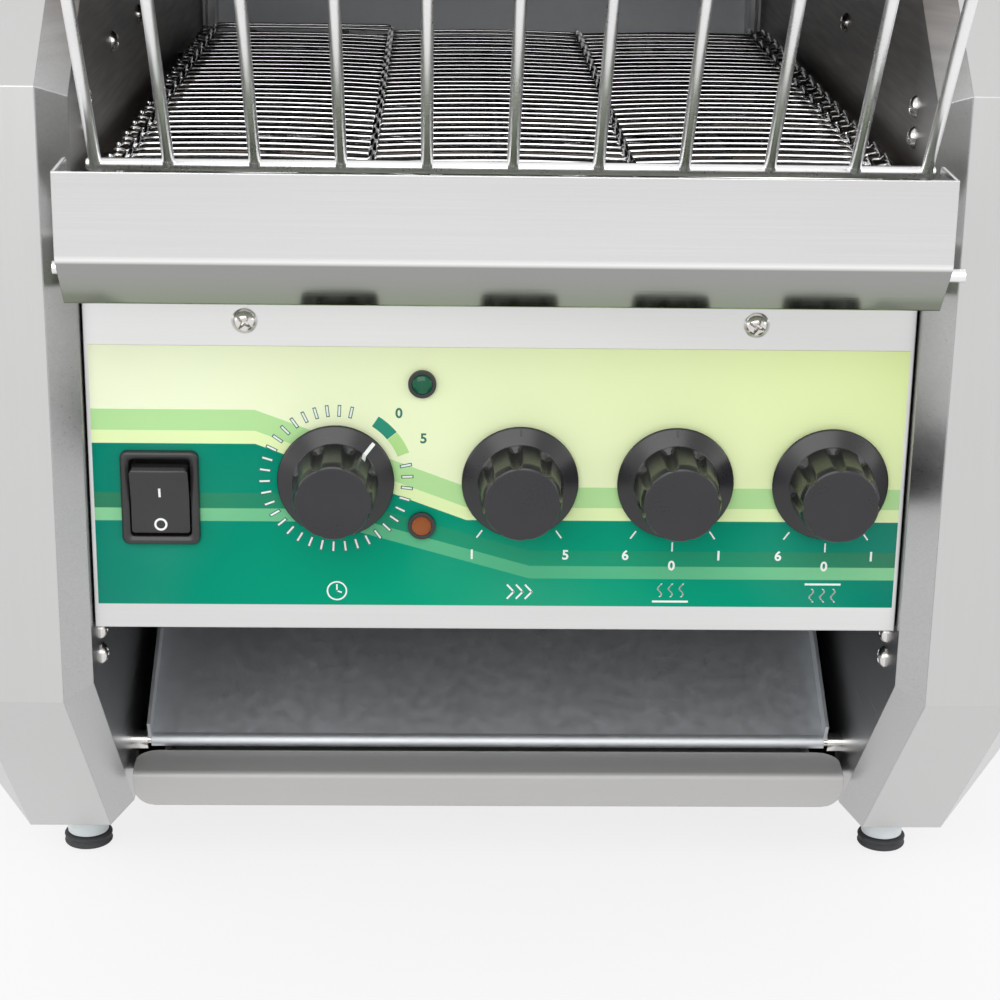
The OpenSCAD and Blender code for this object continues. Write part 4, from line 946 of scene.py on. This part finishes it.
class TOASTER_OT_knobs(bpy.types.Operator):
    """Builds the four skirted, scalloped knobs with their pointer lines"""

    bl_idname = "toaster.knobs"
    bl_label = "Knobs"

    def execute(self, context):
        settings = context.scene.toaster_knob
        pitch = 2 * math.pi / settings.flutes
        start = 4.4 * MM

        def scallop(radius, out, turn):
            """Takes a circular groove out of the grip at each flute, above the skirt."""
            off = (turn - phase + pitch / 2) % pitch - pitch / 2
            across = np.abs(off) * settings.grip
            middle = settings.grip + 0.5 * MM
            deep = np.sqrt(np.maximum(settings.flute_radius**2 - across**2, 0))
            share = np.clip((out - start) / (0.7 * MM), 0, 1)
            share = np.where(radius > 9 * MM, share, 0)
            cut = np.minimum(radius, radius + (middle - deep - radius) * share)
            return np.where(across < settings.flute_radius, cut, radius)

        pointers = {"timer": 43, "speed": 0, "top_heat": 0, "bottom_heat": 180}
        phases = {"timer": 20.5, "speed": -8.5, "top_heat": -14.5, "bottom_heat": -3}
        for name, place in KNOBS.items():
            node = frame["nodes"][f"{name}_knob"]
            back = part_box(node.name)[1].y
            phase = math.radians(phases[name])
            centre = (place.x, back, place.z)
            made = Shape()
            revolved(made, knob_profile(settings), centre, settings.flutes * 32, scallop)
            made.piece(f"{name}_knob_cap", name, "black_plastic", sharp=50, replaces=[node.name])
            self.pointer(name, centre, pointers[name], settings)
        return {"FINISHED"}

    def pointer(self, name, centre, angle, settings):
        """A raised line up the skirt's cone at an angle clockwise from the top."""
        full = name == "timer"
        skirt, foot = settings.skirt, settings.grip + 0.35 * MM
        cone = np.array([[skirt - 0.9 * MM, 1.6 * MM], [foot, 4.0 * MM]])
        reach = np.linspace(cone[0], cone[1] if full else cone[0] * 0.6 + cone[1] * 0.4, 8)
        if full:
            grip = np.array([[settings.grip + 0.12 * MM, 4.6 * MM], [settings.grip - 0.15 * MM, 9 * MM]])
            reach = np.concatenate([reach, np.linspace(*grip, 6)])
        half = (0.75 if full else 0.35) * MM
        turn = math.radians(angle)
        way = np.array([math.sin(turn), math.cos(turn)])
        side = np.array([way[1], -way[0]])
        made = Shape()
        cone_share = 0.7
        buried, proud = -0.3 * MM * cone_share, 0.18 * MM * cone_share
        rows = []
        for off, rise in ((-half, buried), (-half * 0.8, proud), (half * 0.8, proud), (half, buried)):
            flat = way * (reach[:, :1] + rise) + side * off
            rows.append(np.column_stack([
                centre[0] + flat[:, 0], centre[1] - reach[:, 1] - rise, centre[2] + flat[:, 1]]))
        made.grid(np.stack(rows), wrap_rows=True)
        for end in (0, -1):
            made.cap(np.stack([row[end] for row in rows]))
        made.piece(f"{name}_pointer", name, "black_plastic", "white_ink" if full else "satin_plastic")


class TOASTER_OT_dial_print(bpy.types.Operator):
    """Prints the marks, numbers and signs round the knobs"""

    bl_idname = "toaster.dial_print"
    bl_label = "Dial print"

    thickness = 0.04 * MM
    tick = (21.65 * MM, 24.95 * MM, 0.6 * MM)
    tick_edge = (21.3 * MM, 25.3 * MM, 1.15 * MM)
    mark = (21.2 * MM, 24.4 * MM, 0.5 * MM)
    block = (21.6 * MM, 25.6 * MM)
    block_angle = 17.6
    sign_drop = 39 * MM

    def execute(self, context):
        timer = self.flat("timer")
        ticks = 78 + 9.5 * np.arange(32)
        front = FACE_Y - self.thickness
        self.slabs("timer_tick_edges", strokes(timer, *self.tick_edge, ticks), "green_ink", front)
        self.slabs("timer_ticks", strokes(timer, *self.tick, ticks), "white_ink", front - self.thickness)
        blocks = {"timer_stop_block": (33, "teal_ink"), "timer_low_block": (51, "leaf_ink")}
        for name, (start, finish) in blocks.items():
            self.ring(name, timer, self.block, (start, start + self.block_angle), 6, finish, front)
        angles = {"speed": [145, 215], "top_heat": [145, 180, 215], "bottom_heat": [145, 180, 215]}
        marks = [strokes(self.flat(name), *self.mark, at) for name, at in angles.items()]
        self.slabs("dial_marks", np.concatenate(marks), "white_ink", front)
        self.numbers(front)
        self.signs(front)
        return {"FINISHED"}

    def flat(self, name):
        return np.array([KNOBS[name].x, KNOBS[name].z])

    def slabs(self, name, outlines, finish, front):
        made = Shape()
        flat_prisms(made, outlines, front, FACE_Y + self.thickness)
        made.piece(name, "cabinet", "label_film", finish)

    def ring(self, name, centre, radii, angles, steps, finish, front):
        made = Shape()
        ring_band(made, centre, *radii, *angles, steps, front, FACE_Y + self.thickness)
        made.piece(name, "cabinet", "label_film", finish)

    def numbers(self, front):
        """Plain numbers: the ends of each dial, and nought where it is off."""
        size = 4.6 * MM
        places = []
        for name, ends in (("speed", ("1", "5")), ("top_heat", ("6", "1")), ("bottom_heat", ("6", "1"))):
            centre = self.flat(name)
            places += [(ends[0], centre + [-15.5 * MM, -26 * MM], "white_ink"),
                       (ends[1], centre + [15.5 * MM, -26 * MM], "white_ink")]
            if name != "speed":
                places.append(("0", centre + [0, -29.6 * MM], "white_ink"))
        timer = self.flat("timer")
        places += [("0", timer + [20.5 * MM, 22.5 * MM], "green_ink"),
                   ("5", timer + [28.5 * MM, 14 * MM], "green_ink")]
        for finish in ("white_ink", "green_ink"):
            made = Shape()
            for text, at, ink_name in places:
                if ink_name == finish:
                    self.glyph(made, text, at, size, front)
            made.piece(f"dial_numbers_{finish.split('_')[0]}", "cabinet", "label_film", finish)

    def glyph(self, shape, text, at, size, front):
        """One number from the built-in font, made a mesh and laid on the label."""
        curve = bpy.data.curves.new("number", "FONT")
        curve.body, curve.size = text, size
        curve.align_x, curve.align_y = "CENTER", "CENTER"
        curve.extrude, curve.offset = self.thickness / 2, 0.12 * MM
        holder = bpy.data.objects.new("number", curve)
        bpy.context.scene.collection.objects.link(holder)
        solid = bpy.data.meshes.new_from_object(holder)
        points = np.zeros(len(solid.vertices) * 3, np.float32)
        solid.vertices.foreach_get("co", points)
        x, z, y = points.reshape(-1, 3).T
        points = np.column_stack([x + at[0], front + self.thickness / 2 - y, z + at[1]])
        start = shape.count
        shape.add(points, np.empty((0, 4), int))
        for count in sorted({len(p.vertices) for p in solid.polygons}):
            corners = [p.vertices for p in solid.polygons if len(p.vertices) == count]
            shape.faces.append(np.array(corners).reshape(-1, count) + start)
        bpy.data.objects.remove(holder)
        bpy.data.meshes.remove(solid)
        bpy.data.curves.remove(curve)

    def signs(self, front):
        """A clock under the timer, chevrons for speed and rising waves for each heater."""
        clock = self.flat("timer") + [0, -self.sign_drop]
        self.ring("dial_clock_ring", clock, (2.9 * MM, 3.4 * MM), (0, 360), 32, "white_ink", front)
        parts = [strokes(clock, -0.2 * MM, 2.3 * MM, 0.5 * MM, [0]),
                 strokes(clock, -0.2 * MM, 1.7 * MM, 0.5 * MM, [110])]
        speed = self.flat("speed") + [0, -self.sign_drop]
        for x in (-3.0, 0.0, 3.0):
            tip = speed + [(x + 1.6) * MM, 0]
            parts.append(strokes(tip, -0.2 * MM, 3.4 * MM, 0.6 * MM, [-42, -138]))
        for name, up in (("top_heat", 1), ("bottom_heat", -1)):
            centre = self.flat(name) + [0, -self.sign_drop]
            corners = np.array([[-6, -0.35], [6, -0.35], [6, 0.35], [-6, 0.35]]) * MM
            parts.append((centre + [0, -3.2 * MM * up] + corners)[None])
            for x in (-3.6, 0.0, 3.6):
                parts.append(self.wave(centre + [x * MM, -1.6 * MM * up], up))
        self.slabs("dial_signs", np.concatenate(parts), "white_ink", front)

    def wave(self, start, up):
        """A short upright wave: a sine 0.65 mm to each side over a height of 4.8 mm."""
        share = np.linspace(0, 1, 13)
        x = 0.65 * MM * np.sin(share * 2.4 * math.pi)
        line = start + np.column_stack([x, share * 4.8 * MM * up])
        half = np.array([0.28 * MM, 0])
        return np.stack([line[:-1] - half, line[:-1] + half, line[1:] + half, line[1:] - half], 1)


def screw_head(shape, centre, radius, height, out, spin):
    """A pan head with a cross recess, on an axis along out.

    Height over the head: height * (1 - 0.82 * (r / radius) ** 3.2), less the recess, which
    is deep within a cross whose arms narrow outwards.
    """
    rings, steps = 22, 48
    share = np.linspace(0, 1, rings)[:, None]
    turn = np.radians(np.arange(steps) * 360 / steps)[None, :] + spin
    r = share * radius
    u, v = r * np.cos(turn - spin), r * np.sin(turn - spin)
    dome = height * (1 - 0.82 * share**3.2) + 0 * turn
    arm = 0.62 * radius
    slot = 0.13 * radius
    along, side = np.maximum(np.abs(u), np.abs(v)), np.minimum(np.abs(u), np.abs(v))
    inside = np.clip((slot * (1.35 - along / arm) - side) / (0.05 * radius), 0, 1) * (along < arm)
    dome = dome - inside * height * 0.75 * (1 - along / arm * 0.55)
    out = Vector(out).normalized()
    side_way = out.orthogonal().normalized()
    up_way = out.cross(side_way)
    out, side_way, up_way = np.array(out), np.array(side_way), np.array(up_way)
    base = np.array(centre)[None, None]
    across, upright = (r * np.cos(turn))[..., None], (r * np.sin(turn))[..., None]
    points = base + across * side_way + upright * up_way + dome[..., None] * out
    skirt = points[-1:] - out * (height * 0.18)
    floor = np.broadcast_to(base, (1, steps, 3))
    shape.grid(np.concatenate([points, skirt, floor]), wrap_columns=True)


def node_centres(node):
    """The lowest and highest corner of each loose solid of a CAD node."""
    made = bmesh.new()
    made.from_mesh(frame["nodes"][node].data)
    bmesh.ops.remove_doubles(made, verts=made.verts, dist=0.01 * MM)
    left = set(made.verts)
    found = []
    while left:
        group, queue = [], [left.pop()]
        while queue:
            vert = queue.pop()
            group.append(vert.co[:])
            for edge in vert.link_edges:
                other = edge.other_vert(vert)
                if other in left:
                    left.remove(other)
                    queue.append(other)
        group = np.array(group)
        found.append((group.min(0), group.max(0)))
    made.free()
    return sorted(found, key=lambda box: tuple(box[0]))


class TOASTER_OT_screws(bpy.types.Operator):
    """Builds the screw heads with their cross recesses"""

    bl_idname = "toaster.screws"
    bl_label = "Screw heads"

    def execute(self, context):
        groups = {
            "panel_screws": ((0, -1, 0), 8.3 * MM, 2.6 * MM),
            "wall_screws": (None, 7.4 * MM, 2.4 * MM),
        }
        spins = np.random.default_rng(3)
        for node, (out, width, height) in groups.items():
            made = Shape()
            for low, high in node_centres(node):
                middle = (low + high) / 2
                way = out or (-math.copysign(1, middle[0]), 0, 0)
                axis = int(np.argmax(np.abs(way)))
                seat = middle.copy()
                seat[axis] = high[axis] - height if way[axis] > 0 else low[axis] + height
                screw_head(made, seat, width / 2, height, way, spins.uniform(0, math.pi / 2))
            made.piece(f"{node}_heads", "cabinet", "screw_steel", sharp=30, replaces=[node])
        return {"FINISHED"}


class TOASTER_OT_guard(bpy.types.Operator):
    """Builds the front guard with soft folds"""

    bl_idname = "toaster.guard"
    bl_label = "Front guard"

    lean = 0.5 * MM
    slope_run = 14.5 * MM
    channel_depth = 39.5 * MM
    end_depth = 23 * MM
    ear_top = 5 * MM
    ear_foot = 4 * MM

    def execute(self, context):
        sheet = context.scene.toaster_sheet
        low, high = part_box("front_guard")
        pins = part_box("guard_pins")
        pin = np.array([(pins[0].y + pins[1].y) / 2, (pins[0].z + pins[1].z) / 2])
        front, floor, top = low.y, low.z, high.z
        back, neck = front + self.channel_depth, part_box("left_housing")[0].y + 2 * MM
        bend_z, ledge = floor + GUARD_FOLD, pin[1] + self.ear_top
        half, ear = high.x, WALL_X - 0.8 * MM
        corners = [[front + self.lean, top], [front, bend_z], [front + self.slope_run, floor],
                   [back, floor], [back, ledge]]
        line = rounded(corners, [3.0 * MM, sheet.bend, sheet.bend])
        at = int(np.argmax(line[:, 0] > neck))
        line = np.insert(line, at, [[neck, floor], [neck + 0.01 * MM, floor]], axis=0)
        made = Shape()
        bent_sheet(made, line, sheet.thickness, np.where(line[:, 0] > neck, ear, half))
        inset = 0.4 * MM
        end = np.array([[front + self.lean + inset, top], [front + inset, bend_z + inset],
                        [front + self.slope_run + inset, floor + inset], [neck, floor + inset],
                        [neck, ledge], [front + self.end_depth, top]])
        hook = self.ear(pin, neck - 6 * MM, back - inset, floor + inset)
        for side in (-1, 1):
            self.plate(made, end, side * half, side * (half - sheet.thickness))
            self.plate(made, hook, side * ear, side * (ear - sheet.thickness))
        made.piece("guard_sheet", "guard", "brushed_steel", "guard_steel", 28, ["front_guard"])
        return {"FINISHED"}

    def plate(self, shape, profile, outer, inner):
        """A flat plate of (y, z) corners between two places across."""
        sides = [np.column_stack([np.full(len(profile), x), profile]) for x in (outer, inner)]
        shape.grid(np.stack(sides), wrap_columns=True)
        for side in sides:
            shape.cap(side)

    def ear(self, pin, start, back, floor):
        """The outline of the hook that hangs over a pin, with a round notch open below."""
        gap, end = 2.9 * MM, pin[0] + 6 * MM
        foot, top = pin[1] - self.ear_foot, pin[1] + self.ear_top
        slope = (foot - floor) / (end - back)
        notch = pin + arc_points((0, 0), gap, 180, 0, 9)
        mouth = [[y, floor + (y - back) * slope] for y in (pin[0] - gap, pin[0] + gap)]
        return np.concatenate([[[start, floor], [back, floor], mouth[0]], notch,
                               [mouth[1], [end, foot], [end, top], [start, top]]])


class TOASTER_OT_landing_tray(bpy.types.Operator):
    """Builds the pull-out tray with its rounded landing lip"""

    bl_idname = "toaster.landing_tray"
    bl_label = "Landing tray"

    strip_depth = 18 * MM
    pan_drop = 8 * MM
    pan_inset = 8.7 * MM
    back_wall, side_wall = 5 * MM, 4.8 * MM

    def execute(self, context):
        sheet = context.scene.toaster_sheet
        low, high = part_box("landing_tray")
        t, corner = sheet.thickness, sheet.lip_corner
        top = high.z - MM
        strip = low.y + self.strip_depth
        line = rounded([[low.y, low.z], [low.y, top], [strip, high.z]], [sheet.bend])
        line = self.refined(line, 0.5 * MM)
        run = distances(line)
        short = np.minimum(np.minimum(run, run[-1] - run), corner)
        half = (high.x - low.x) / 2
        widths = half - corner + np.sqrt(corner**2 - (corner - short) ** 2)
        made = Shape()
        bent_sheet(made, line, -t, widths)
        floor = top - self.pan_drop
        inner = half - self.pan_inset
        pan = rounded([[strip - t, top - 0.6 * MM], [strip - t, floor - t], [high.y, floor - t],
                       [high.y, floor + self.back_wall]], [sheet.bend, sheet.bend])
        bent_sheet(made, pan, t, inner)
        back, foot, brim = high.y - t / 2, floor - t / 2, floor + self.side_wall
        outline = ((strip, foot), (strip, brim), (back, brim), (back, foot))
        for side in (-1, 1):
            wall = np.array([[[side * x, *corner] for x in (inner, inner - t)] for corner in outline])
            made.grid(wall, wrap_rows=True)
            for column in (0, 1):
                made.cap(wall[:, column])
        made.piece("tray_sheet", "tray", "brushed_steel", "tray_steel", 28, ["landing_tray"])
        return {"FINISHED"}

    def refined(self, line, step):
        """The same line with more points near its two ends, where it is cut round."""
        run = distances(line)
        extra = np.arange(0, 8.5 * MM, step)
        places = np.unique(np.concatenate([run, extra, run[-1] - extra]))
        places = places[np.concatenate([[True], np.diff(places) > 0.05 * MM])]
        return np.column_stack([np.interp(places, run, line[:, i]) for i in (0, 1)])


class TOASTER_OT_rack(bpy.types.Operator):
    """Builds the loading rack: eleven sloping wires welded to two cross bars"""

    bl_idname = "toaster.rack"
    bl_label = "Loading rack"

    bar, wire = 2.0 * MM, 1.9 * MM
    slope = math.radians(53)
    length = 150 * MM
    wire_step = 26.06 * MM

    def execute(self, context):
        low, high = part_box("loading_rack")
        bar, wire = self.bar, self.wire
        middle = (low.x + high.x) / 2
        outer = (high.x - low.x) / 2 - wire - MM
        lean = np.array([math.cos(self.slope), -math.sin(self.slope)])
        tip = np.array([low.y + bar, high.z - bar])
        base = tip + self.length * lean
        inner = np.arange(-4, 5) * self.wire_step
        made = Shape()
        for y, z in (base, tip):
            self.rod(made, [[middle - outer - wire - MM, y, z], [middle + outer + wire + MM, y, z]], bar)
        for x in inner:
            self.rod(made, [[middle + x, *base], [middle + x, *tip]], wire)
        for side in (-1, 1):
            bend = rounded([[base[0], low.z], [base[0], base[1]], [tip[0], tip[1]]], [5 * MM], 9)
            path = np.column_stack([np.full(len(bend), middle + side * outer), bend])
            tube(made, path, wire, 16)
        for x in np.concatenate([inner, [-outer, outer]]):
            for foot, way in ((base, -lean), (tip, lean)):
                self.weld(made, middle + x, foot, way)
        made.piece("rack_wires", "rack", "rack_wire", sharp=60, replaces=["loading_rack"])
        return {"FINISHED"}

    def rod(self, shape, ends, radius):
        """A straight wire whose ends are rounded off over a third of its radius."""
        ends = np.array(ends, float)
        way = (ends[1] - ends[0]) / np.linalg.norm(ends[1] - ends[0])
        inset = radius * 0.35
        path = np.stack([ends[0], ends[0] + way * inset, ends[1] - way * inset, ends[1]])
        tube(shape, path, np.array([0.7, 1, 1, 0.7]) * radius, 18)

    def weld(self, shape, x, foot, way):
        """A fillet of weld metal, from the wire's radius to a fifth more at the bar."""
        out = np.linspace(self.bar * 0.6, self.bar * 1.4, 6)[:, None]
        path = np.column_stack([np.full(6, x), foot + way * out])
        share = np.linspace(1, 0, 6)
        tube(shape, path, self.wire * (1 + 0.2 * share**2), 16)


class TOASTER_OT_switch(bpy.types.Operator):
    """Builds the power switch's rocker and frame and prints its two signs"""

    bl_idname = "toaster.switch"
    bl_label = "Power switch"

    def execute(self, context):
        pivot = joint_place("rocker_tilt")
        width, height, tilt = 19 * MM, 25 * MM, math.radians(9)
        half, proud = height / 2, 4.2 * MM
        side = [[1 * MM, half - 1.6 * MM], [-proud, half - 0.4 * MM], [-proud - 1.6 * MM, half - 1.2 * MM],
                [-proud, 0], [-proud - 1.6 * MM, -half + 1.2 * MM], [-proud, -half + 0.4 * MM],
                [1 * MM, -half + 1.6 * MM]]
        line = rounded(side, [0.7 * MM, 0.8 * MM, 40 * MM, 0.8 * MM, 0.7 * MM], 9)
        back = arc_points((0, 0), 4.2 * MM, -50, 50, 9)
        line = np.concatenate([line, back])
        turn = np.array([[math.cos(tilt), -math.sin(tilt)], [math.sin(tilt), math.cos(tilt)]])
        inward = 0.6 * MM
        centre = line.mean(0)
        small = centre + (line - centre) * (1 - inward / half)
        rows = []
        corner = 1.8 * MM
        short = corner - np.clip(half - np.abs(line[:, 1]), 0, corner)
        inset = corner - np.sqrt(corner**2 - short**2)
        for side, ring, more in ((-1, small, 0), (-1, line, inward), (1, line, inward), (1, small, 0)):
            flat = ring @ turn.T
            x = pivot.x + side * (width / 2 - more - inset)
            rows.append(np.column_stack([x, pivot.y + flat[:, 0], pivot.z + flat[:, 1]]))
        made = Shape()
        made.grid(np.stack(rows), wrap_columns=True)
        for row in (rows[0], rows[-1]):
            made.cap(row)
        pin = np.array([[pivot.x + s * (width / 2 + 1.6 * MM), pivot.y, pivot.z] for s in (-1, 1)])
        tube(made, pin, 1.5 * MM, 16)
        made.piece("rocker_cap", "rocker", "black_plastic", "satin_plastic", 35, ["power_rocker"])
        self.signs(pivot, proud, turn)
        self.surround(pivot, width / 2, half)
        return {"FINISHED"}

    def surround(self, pivot, half_x, half_z):
        """The snap-in frame and its body: rounded rectangles joined from the back to the well.

        Each step is half a width, half a height and a corner radius, at a place along y.
        """
        low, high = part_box("power_switch")
        x, z = (high.x - low.x) / 2, (high.z - low.z) / 2
        well_x, well_z = half_x + 0.5 * MM, half_z + 0.8 * MM
        front, well_back = low.y, FACE_Y + 8.5 * MM
        steps = [
            (0, 0, 0, high.y),
            (x - 1.5 * MM, z - 1.5 * MM, 0.8 * MM, high.y),
            (x - 1.5 * MM, z - 1.5 * MM, 0.8 * MM, FACE_Y),
            (x, z, 2.4 * MM, FACE_Y),
            (x, z, 2.4 * MM, front + 0.9 * MM),
            (x - 0.25 * MM, z - 0.25 * MM, 2.3 * MM, front + 0.35 * MM),
            (x - 0.9 * MM, z - 0.9 * MM, 2.0 * MM, front),
            (well_x + 1.0 * MM, well_z + 0.9 * MM, 1.8 * MM, front + 0.1 * MM),
            (well_x, well_z, 1.4 * MM, front + 0.9 * MM),
            (well_x, well_z, 1.4 * MM, well_back),
            (0, 0, 0, well_back),
        ]
        sign = np.repeat([[1, 1], [-1, 1], [-1, -1], [1, -1]], 6, axis=0)
        loops = []
        for across, up, radius, y in steps:
            arcs = [arc_points((0, 0), radius, start, start + 90, 6) for start in (0, 90, 180, 270)]
            flat = sign * [max(0, across - radius), max(0, up - radius)] + np.concatenate(arcs)
            loops.append(np.column_stack([pivot.x + flat[:, 0], np.full(24, y), pivot.z + flat[:, 1]]))
        made = Shape()
        made.grid(np.stack(loops), wrap_columns=True)
        made.piece("switch_frame", "cabinet", "black_plastic", "satin_plastic", 40, ["power_switch"])

    def signs(self, pivot, proud, turn):
        """A stroke on the upper half and a ring on the lower one, laid on the two slopes."""
        slope = 1.6 / 11.3
        made = Shape()
        flat_prisms(made, strokes(np.array([0, 3.0 * MM]), -1.8 * MM, 1.8 * MM, 0.75 * MM, [0]),
                    -0.22 * MM, 0.05 * MM)
        ring_band(made, np.array([0, -8.2 * MM]), 1.45 * MM, 2.15 * MM, 0, 360, 28, -0.06 * MM, 0.03 * MM)
        for points in made.points:
            y = points[:, 1] - proud - np.abs(points[:, 2]) * slope
            flat = np.stack([y, points[:, 2]], -1) @ turn.T
            points[:, 0] += pivot.x
            points[:, 1:] = flat + [pivot.y, pivot.z]
        made.piece("rocker_signs", "rocker", "black_plastic", "white_ink")


class TOASTER_OT_feet(bpy.types.Operator):
    """Builds the ribbed feet: a pale collar over a dark rubber pad"""

    bl_idname = "toaster.feet"
    bl_label = "Feet"

    def execute(self, context):
        kinds = {"foot_collars": ("collar_plastic", self.collar()),
                 "foot_pads": ("pad_rubber", self.pad())}
        for node, (slot, profile) in kinds.items():
            made = Shape()
            for low, high in node_centres(node):
                middle = (low + high) / 2
                self.stand(made, profile, middle[0], middle[1])
            made.piece(f"{node}_turned", "cabinet", slot, sharp=40, replaces=[node])
        return {"FINISHED"}

    def collar(self):
        """Radius and height up the collar, a little narrower at its foot."""
        return np.array([[0, 5.0], [7.4, 5.0], [7.8, 5.2], [8.0, 8], [8.25, 15.6], [8.25, 16], [3, 16],
                         [3, 22], [0, 22]]) * MM

    def pad(self):
        """Radius and height up the pad, with a groove half way."""
        side = arc_points((8.4, 1.1), 0.8, -80, 60, 6)
        groove = np.array([[8.7, 2.4], [8.7, 2.9]])
        upper = arc_points((8.5, 3.7), 0.7, -50, 80, 6)
        points = np.concatenate([[[0, 0.0], [7.6, 0.0]], np.maximum(side, [0, 0.05]), groove, upper,
                                 [[8.0, 4.6], [0, 4.9]]])
        return points * MM

    def stand(self, shape, profile, x, y):
        """A profile of (radius, height) turned about an upright axis at (x, y)."""
        turn = np.radians(np.arange(48) * 7.5)[None, :]
        radius, height = profile[:, :1], profile[:, 1:] + 0 * turn
        points = np.stack([x + radius * np.cos(turn), y + radius * np.sin(turn), height], -1)
        shape.grid(points, wrap_columns=True)


# ---- studio ----


class TOASTER_OT_studio(bpy.types.Operator):
    """Sets up the floor, the lamps, the room and the camera"""

    bl_idname = "toaster.studio"
    bl_label = "Studio"

    def execute(self, context):
        scene = context.scene
        settings = scene.toaster_studio
        self.floor(settings)
        self.room(scene, settings)
        low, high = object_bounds()
        middle = (low + high) / 2
        self.lamp("key", middle + Vector((-0.25, -1.45, 0.95)), middle, 1.5, settings.key_power)
        self.lamp("left", middle + Vector((-1.5, -0.5, 0.5)), middle, 1.0, settings.side_power)
        self.lamp("right", middle + Vector((1.5, -0.6, 0.6)), middle, 1.0, settings.side_power)
        self.camera(scene, settings)
        scene.view_settings.view_transform = "Standard"
        return {"FINISHED"}

    def floor(self, settings):
        """A pale floor that is mostly white to the camera and keeps a soft shadow."""
        half = settings.floor_size / 2
        corners = [(-half, -half, 0), (half, -half, 0), (half, half, 0), (-half, half, 0)]
        mesh = bpy.data.meshes.new("floor")
        mesh.from_pydata(corners, [], [(0, 1, 2, 3)])
        floor = bpy.data.objects.new("floor", mesh)
        bpy.context.scene.collection.objects.link(floor)
        f = Finish("floor", Roughness=0.9, Specular_IOR_Level=0.0)
        cloud = f.noise(1.5, 2.0)
        f.set("Base Color", f.mix(cloud, (0.78, 0.78, 0.78), (0.82, 0.82, 0.82)))
        glow = f.node("ShaderNodeEmission", {}, [(1, 1, 1), 1.0])
        lit = Value(f, f.shader.outputs[0])
        mixed = f.node("ShaderNodeMixShader", {}, [f.seen_rays() * 0.8, lit, glow])
        f.feed(f.tree.nodes["Material Output"].inputs["Surface"], mixed)
        mesh.materials.append(f.material)
        floor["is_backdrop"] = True

    def room(self, scene, settings):
        """White to the camera and in reflections, and a plain even light otherwise."""
        world = bpy.data.worlds.new("room")
        world.use_nodes = True
        scene.world = world
        room = Nodes(world.node_tree)
        own = world.node_tree.nodes["Background"]
        room.feed(own.inputs["Color"], (1, 1, 1))
        room.feed(own.inputs["Strength"], settings.room_light)
        white = room.node("ShaderNodeBackground", {}, [(1, 1, 1), 1.0])
        mixed = room.node("ShaderNodeMixShader", {}, [room.seen_rays(), Value(room, own.outputs[0]), white])
        room.feed(world.node_tree.nodes["World Output"].inputs["Surface"], mixed)

    def lamp(self, name, place, target, size, power):
        """A square lamp that faces the target."""
        light = bpy.data.lights.new(name, "AREA")
        light.shape, light.size, light.energy = "SQUARE", size, power
        lamp = bpy.data.objects.new(name, light)
        lamp.location = place
        lamp.rotation_mode = "QUATERNION"
        lamp.rotation_quaternion = (target - place).to_track_quat("-Z", "Y")
        bpy.context.scene.collection.objects.link(lamp)

    def camera(self, scene, settings):
        """A long lens in front of the controls, looking down at them."""
        place = Vector((-20 * MM, PANEL_Y - 728.4 * MM, 421.7 * MM))
        pitch, yaw, roll = 0.3288, 0.0281, 0.0158
        level = Vector((math.sin(yaw), math.cos(yaw), 0))
        ahead = level * math.cos(pitch) + Vector((0, 0, -math.sin(pitch)))
        right = Vector((math.cos(yaw), -math.sin(yaw), 0))
        up = right.cross(ahead)
        side = right * math.cos(roll) + up * math.sin(roll)
        top = up * math.cos(roll) - right * math.sin(roll)
        camera = bpy.data.cameras.new("camera")
        camera.lens, camera.sensor_width = settings.lens, 36
        holder = bpy.data.objects.new("camera", camera)
        turn = Matrix((side, top, -ahead)).transposed()
        holder.matrix_world = Matrix.Translation(place) @ turn.to_4x4()
        scene.collection.objects.link(holder)
        scene.camera = holder


OPERATORS = [
    TOASTER_OT_frame_finishes,
    TOASTER_OT_belt,
    TOASTER_OT_knobs,
    TOASTER_OT_dial_print,
    TOASTER_OT_screws,
    TOASTER_OT_guard,
    TOASTER_OT_landing_tray,
    TOASTER_OT_rack,
    TOASTER_OT_switch,
    TOASTER_OT_feet,
    TOASTER_OT_studio,
]


class TOASTER_PT_panel(bpy.types.Panel):
    """Lists the settings and the pieces in the sidebar"""

    bl_idname = "TOASTER_PT_panel"
    bl_label = "Conveyor toaster"
    bl_space_type = "VIEW_3D"
    bl_region_type = "UI"
    bl_category = "Toaster"

    def draw(self, context):
        for name, group in SETTINGS.items():
            column = self.layout.box().column(align=True)
            for entry in group.__annotations__:
                column.prop(getattr(context.scene, name), entry)
        for operator in OPERATORS:
            self.layout.operator(operator.bl_idname)


def register():
    for group in (*SETTINGS.values(), *OPERATORS, TOASTER_PT_panel):
        bpy.utils.register_class(group)
    for name, group in SETTINGS.items():
        setattr(bpy.types.Scene, name, bpy.props.PointerProperty(type=group))


def unregister():
    for name in SETTINGS:
        delattr(bpy.types.Scene, name)
    for group in (TOASTER_PT_panel, *OPERATORS[::-1], *list(SETTINGS.values())[::-1]):
        bpy.utils.unregister_class(group)


def main():
    """Builds the whole toaster."""
    register()
    for operator in OPERATORS:
        group, name = operator.bl_idname.split(".")
        getattr(getattr(bpy.ops, group), name)()


if __name__ == "__main__":
    main()
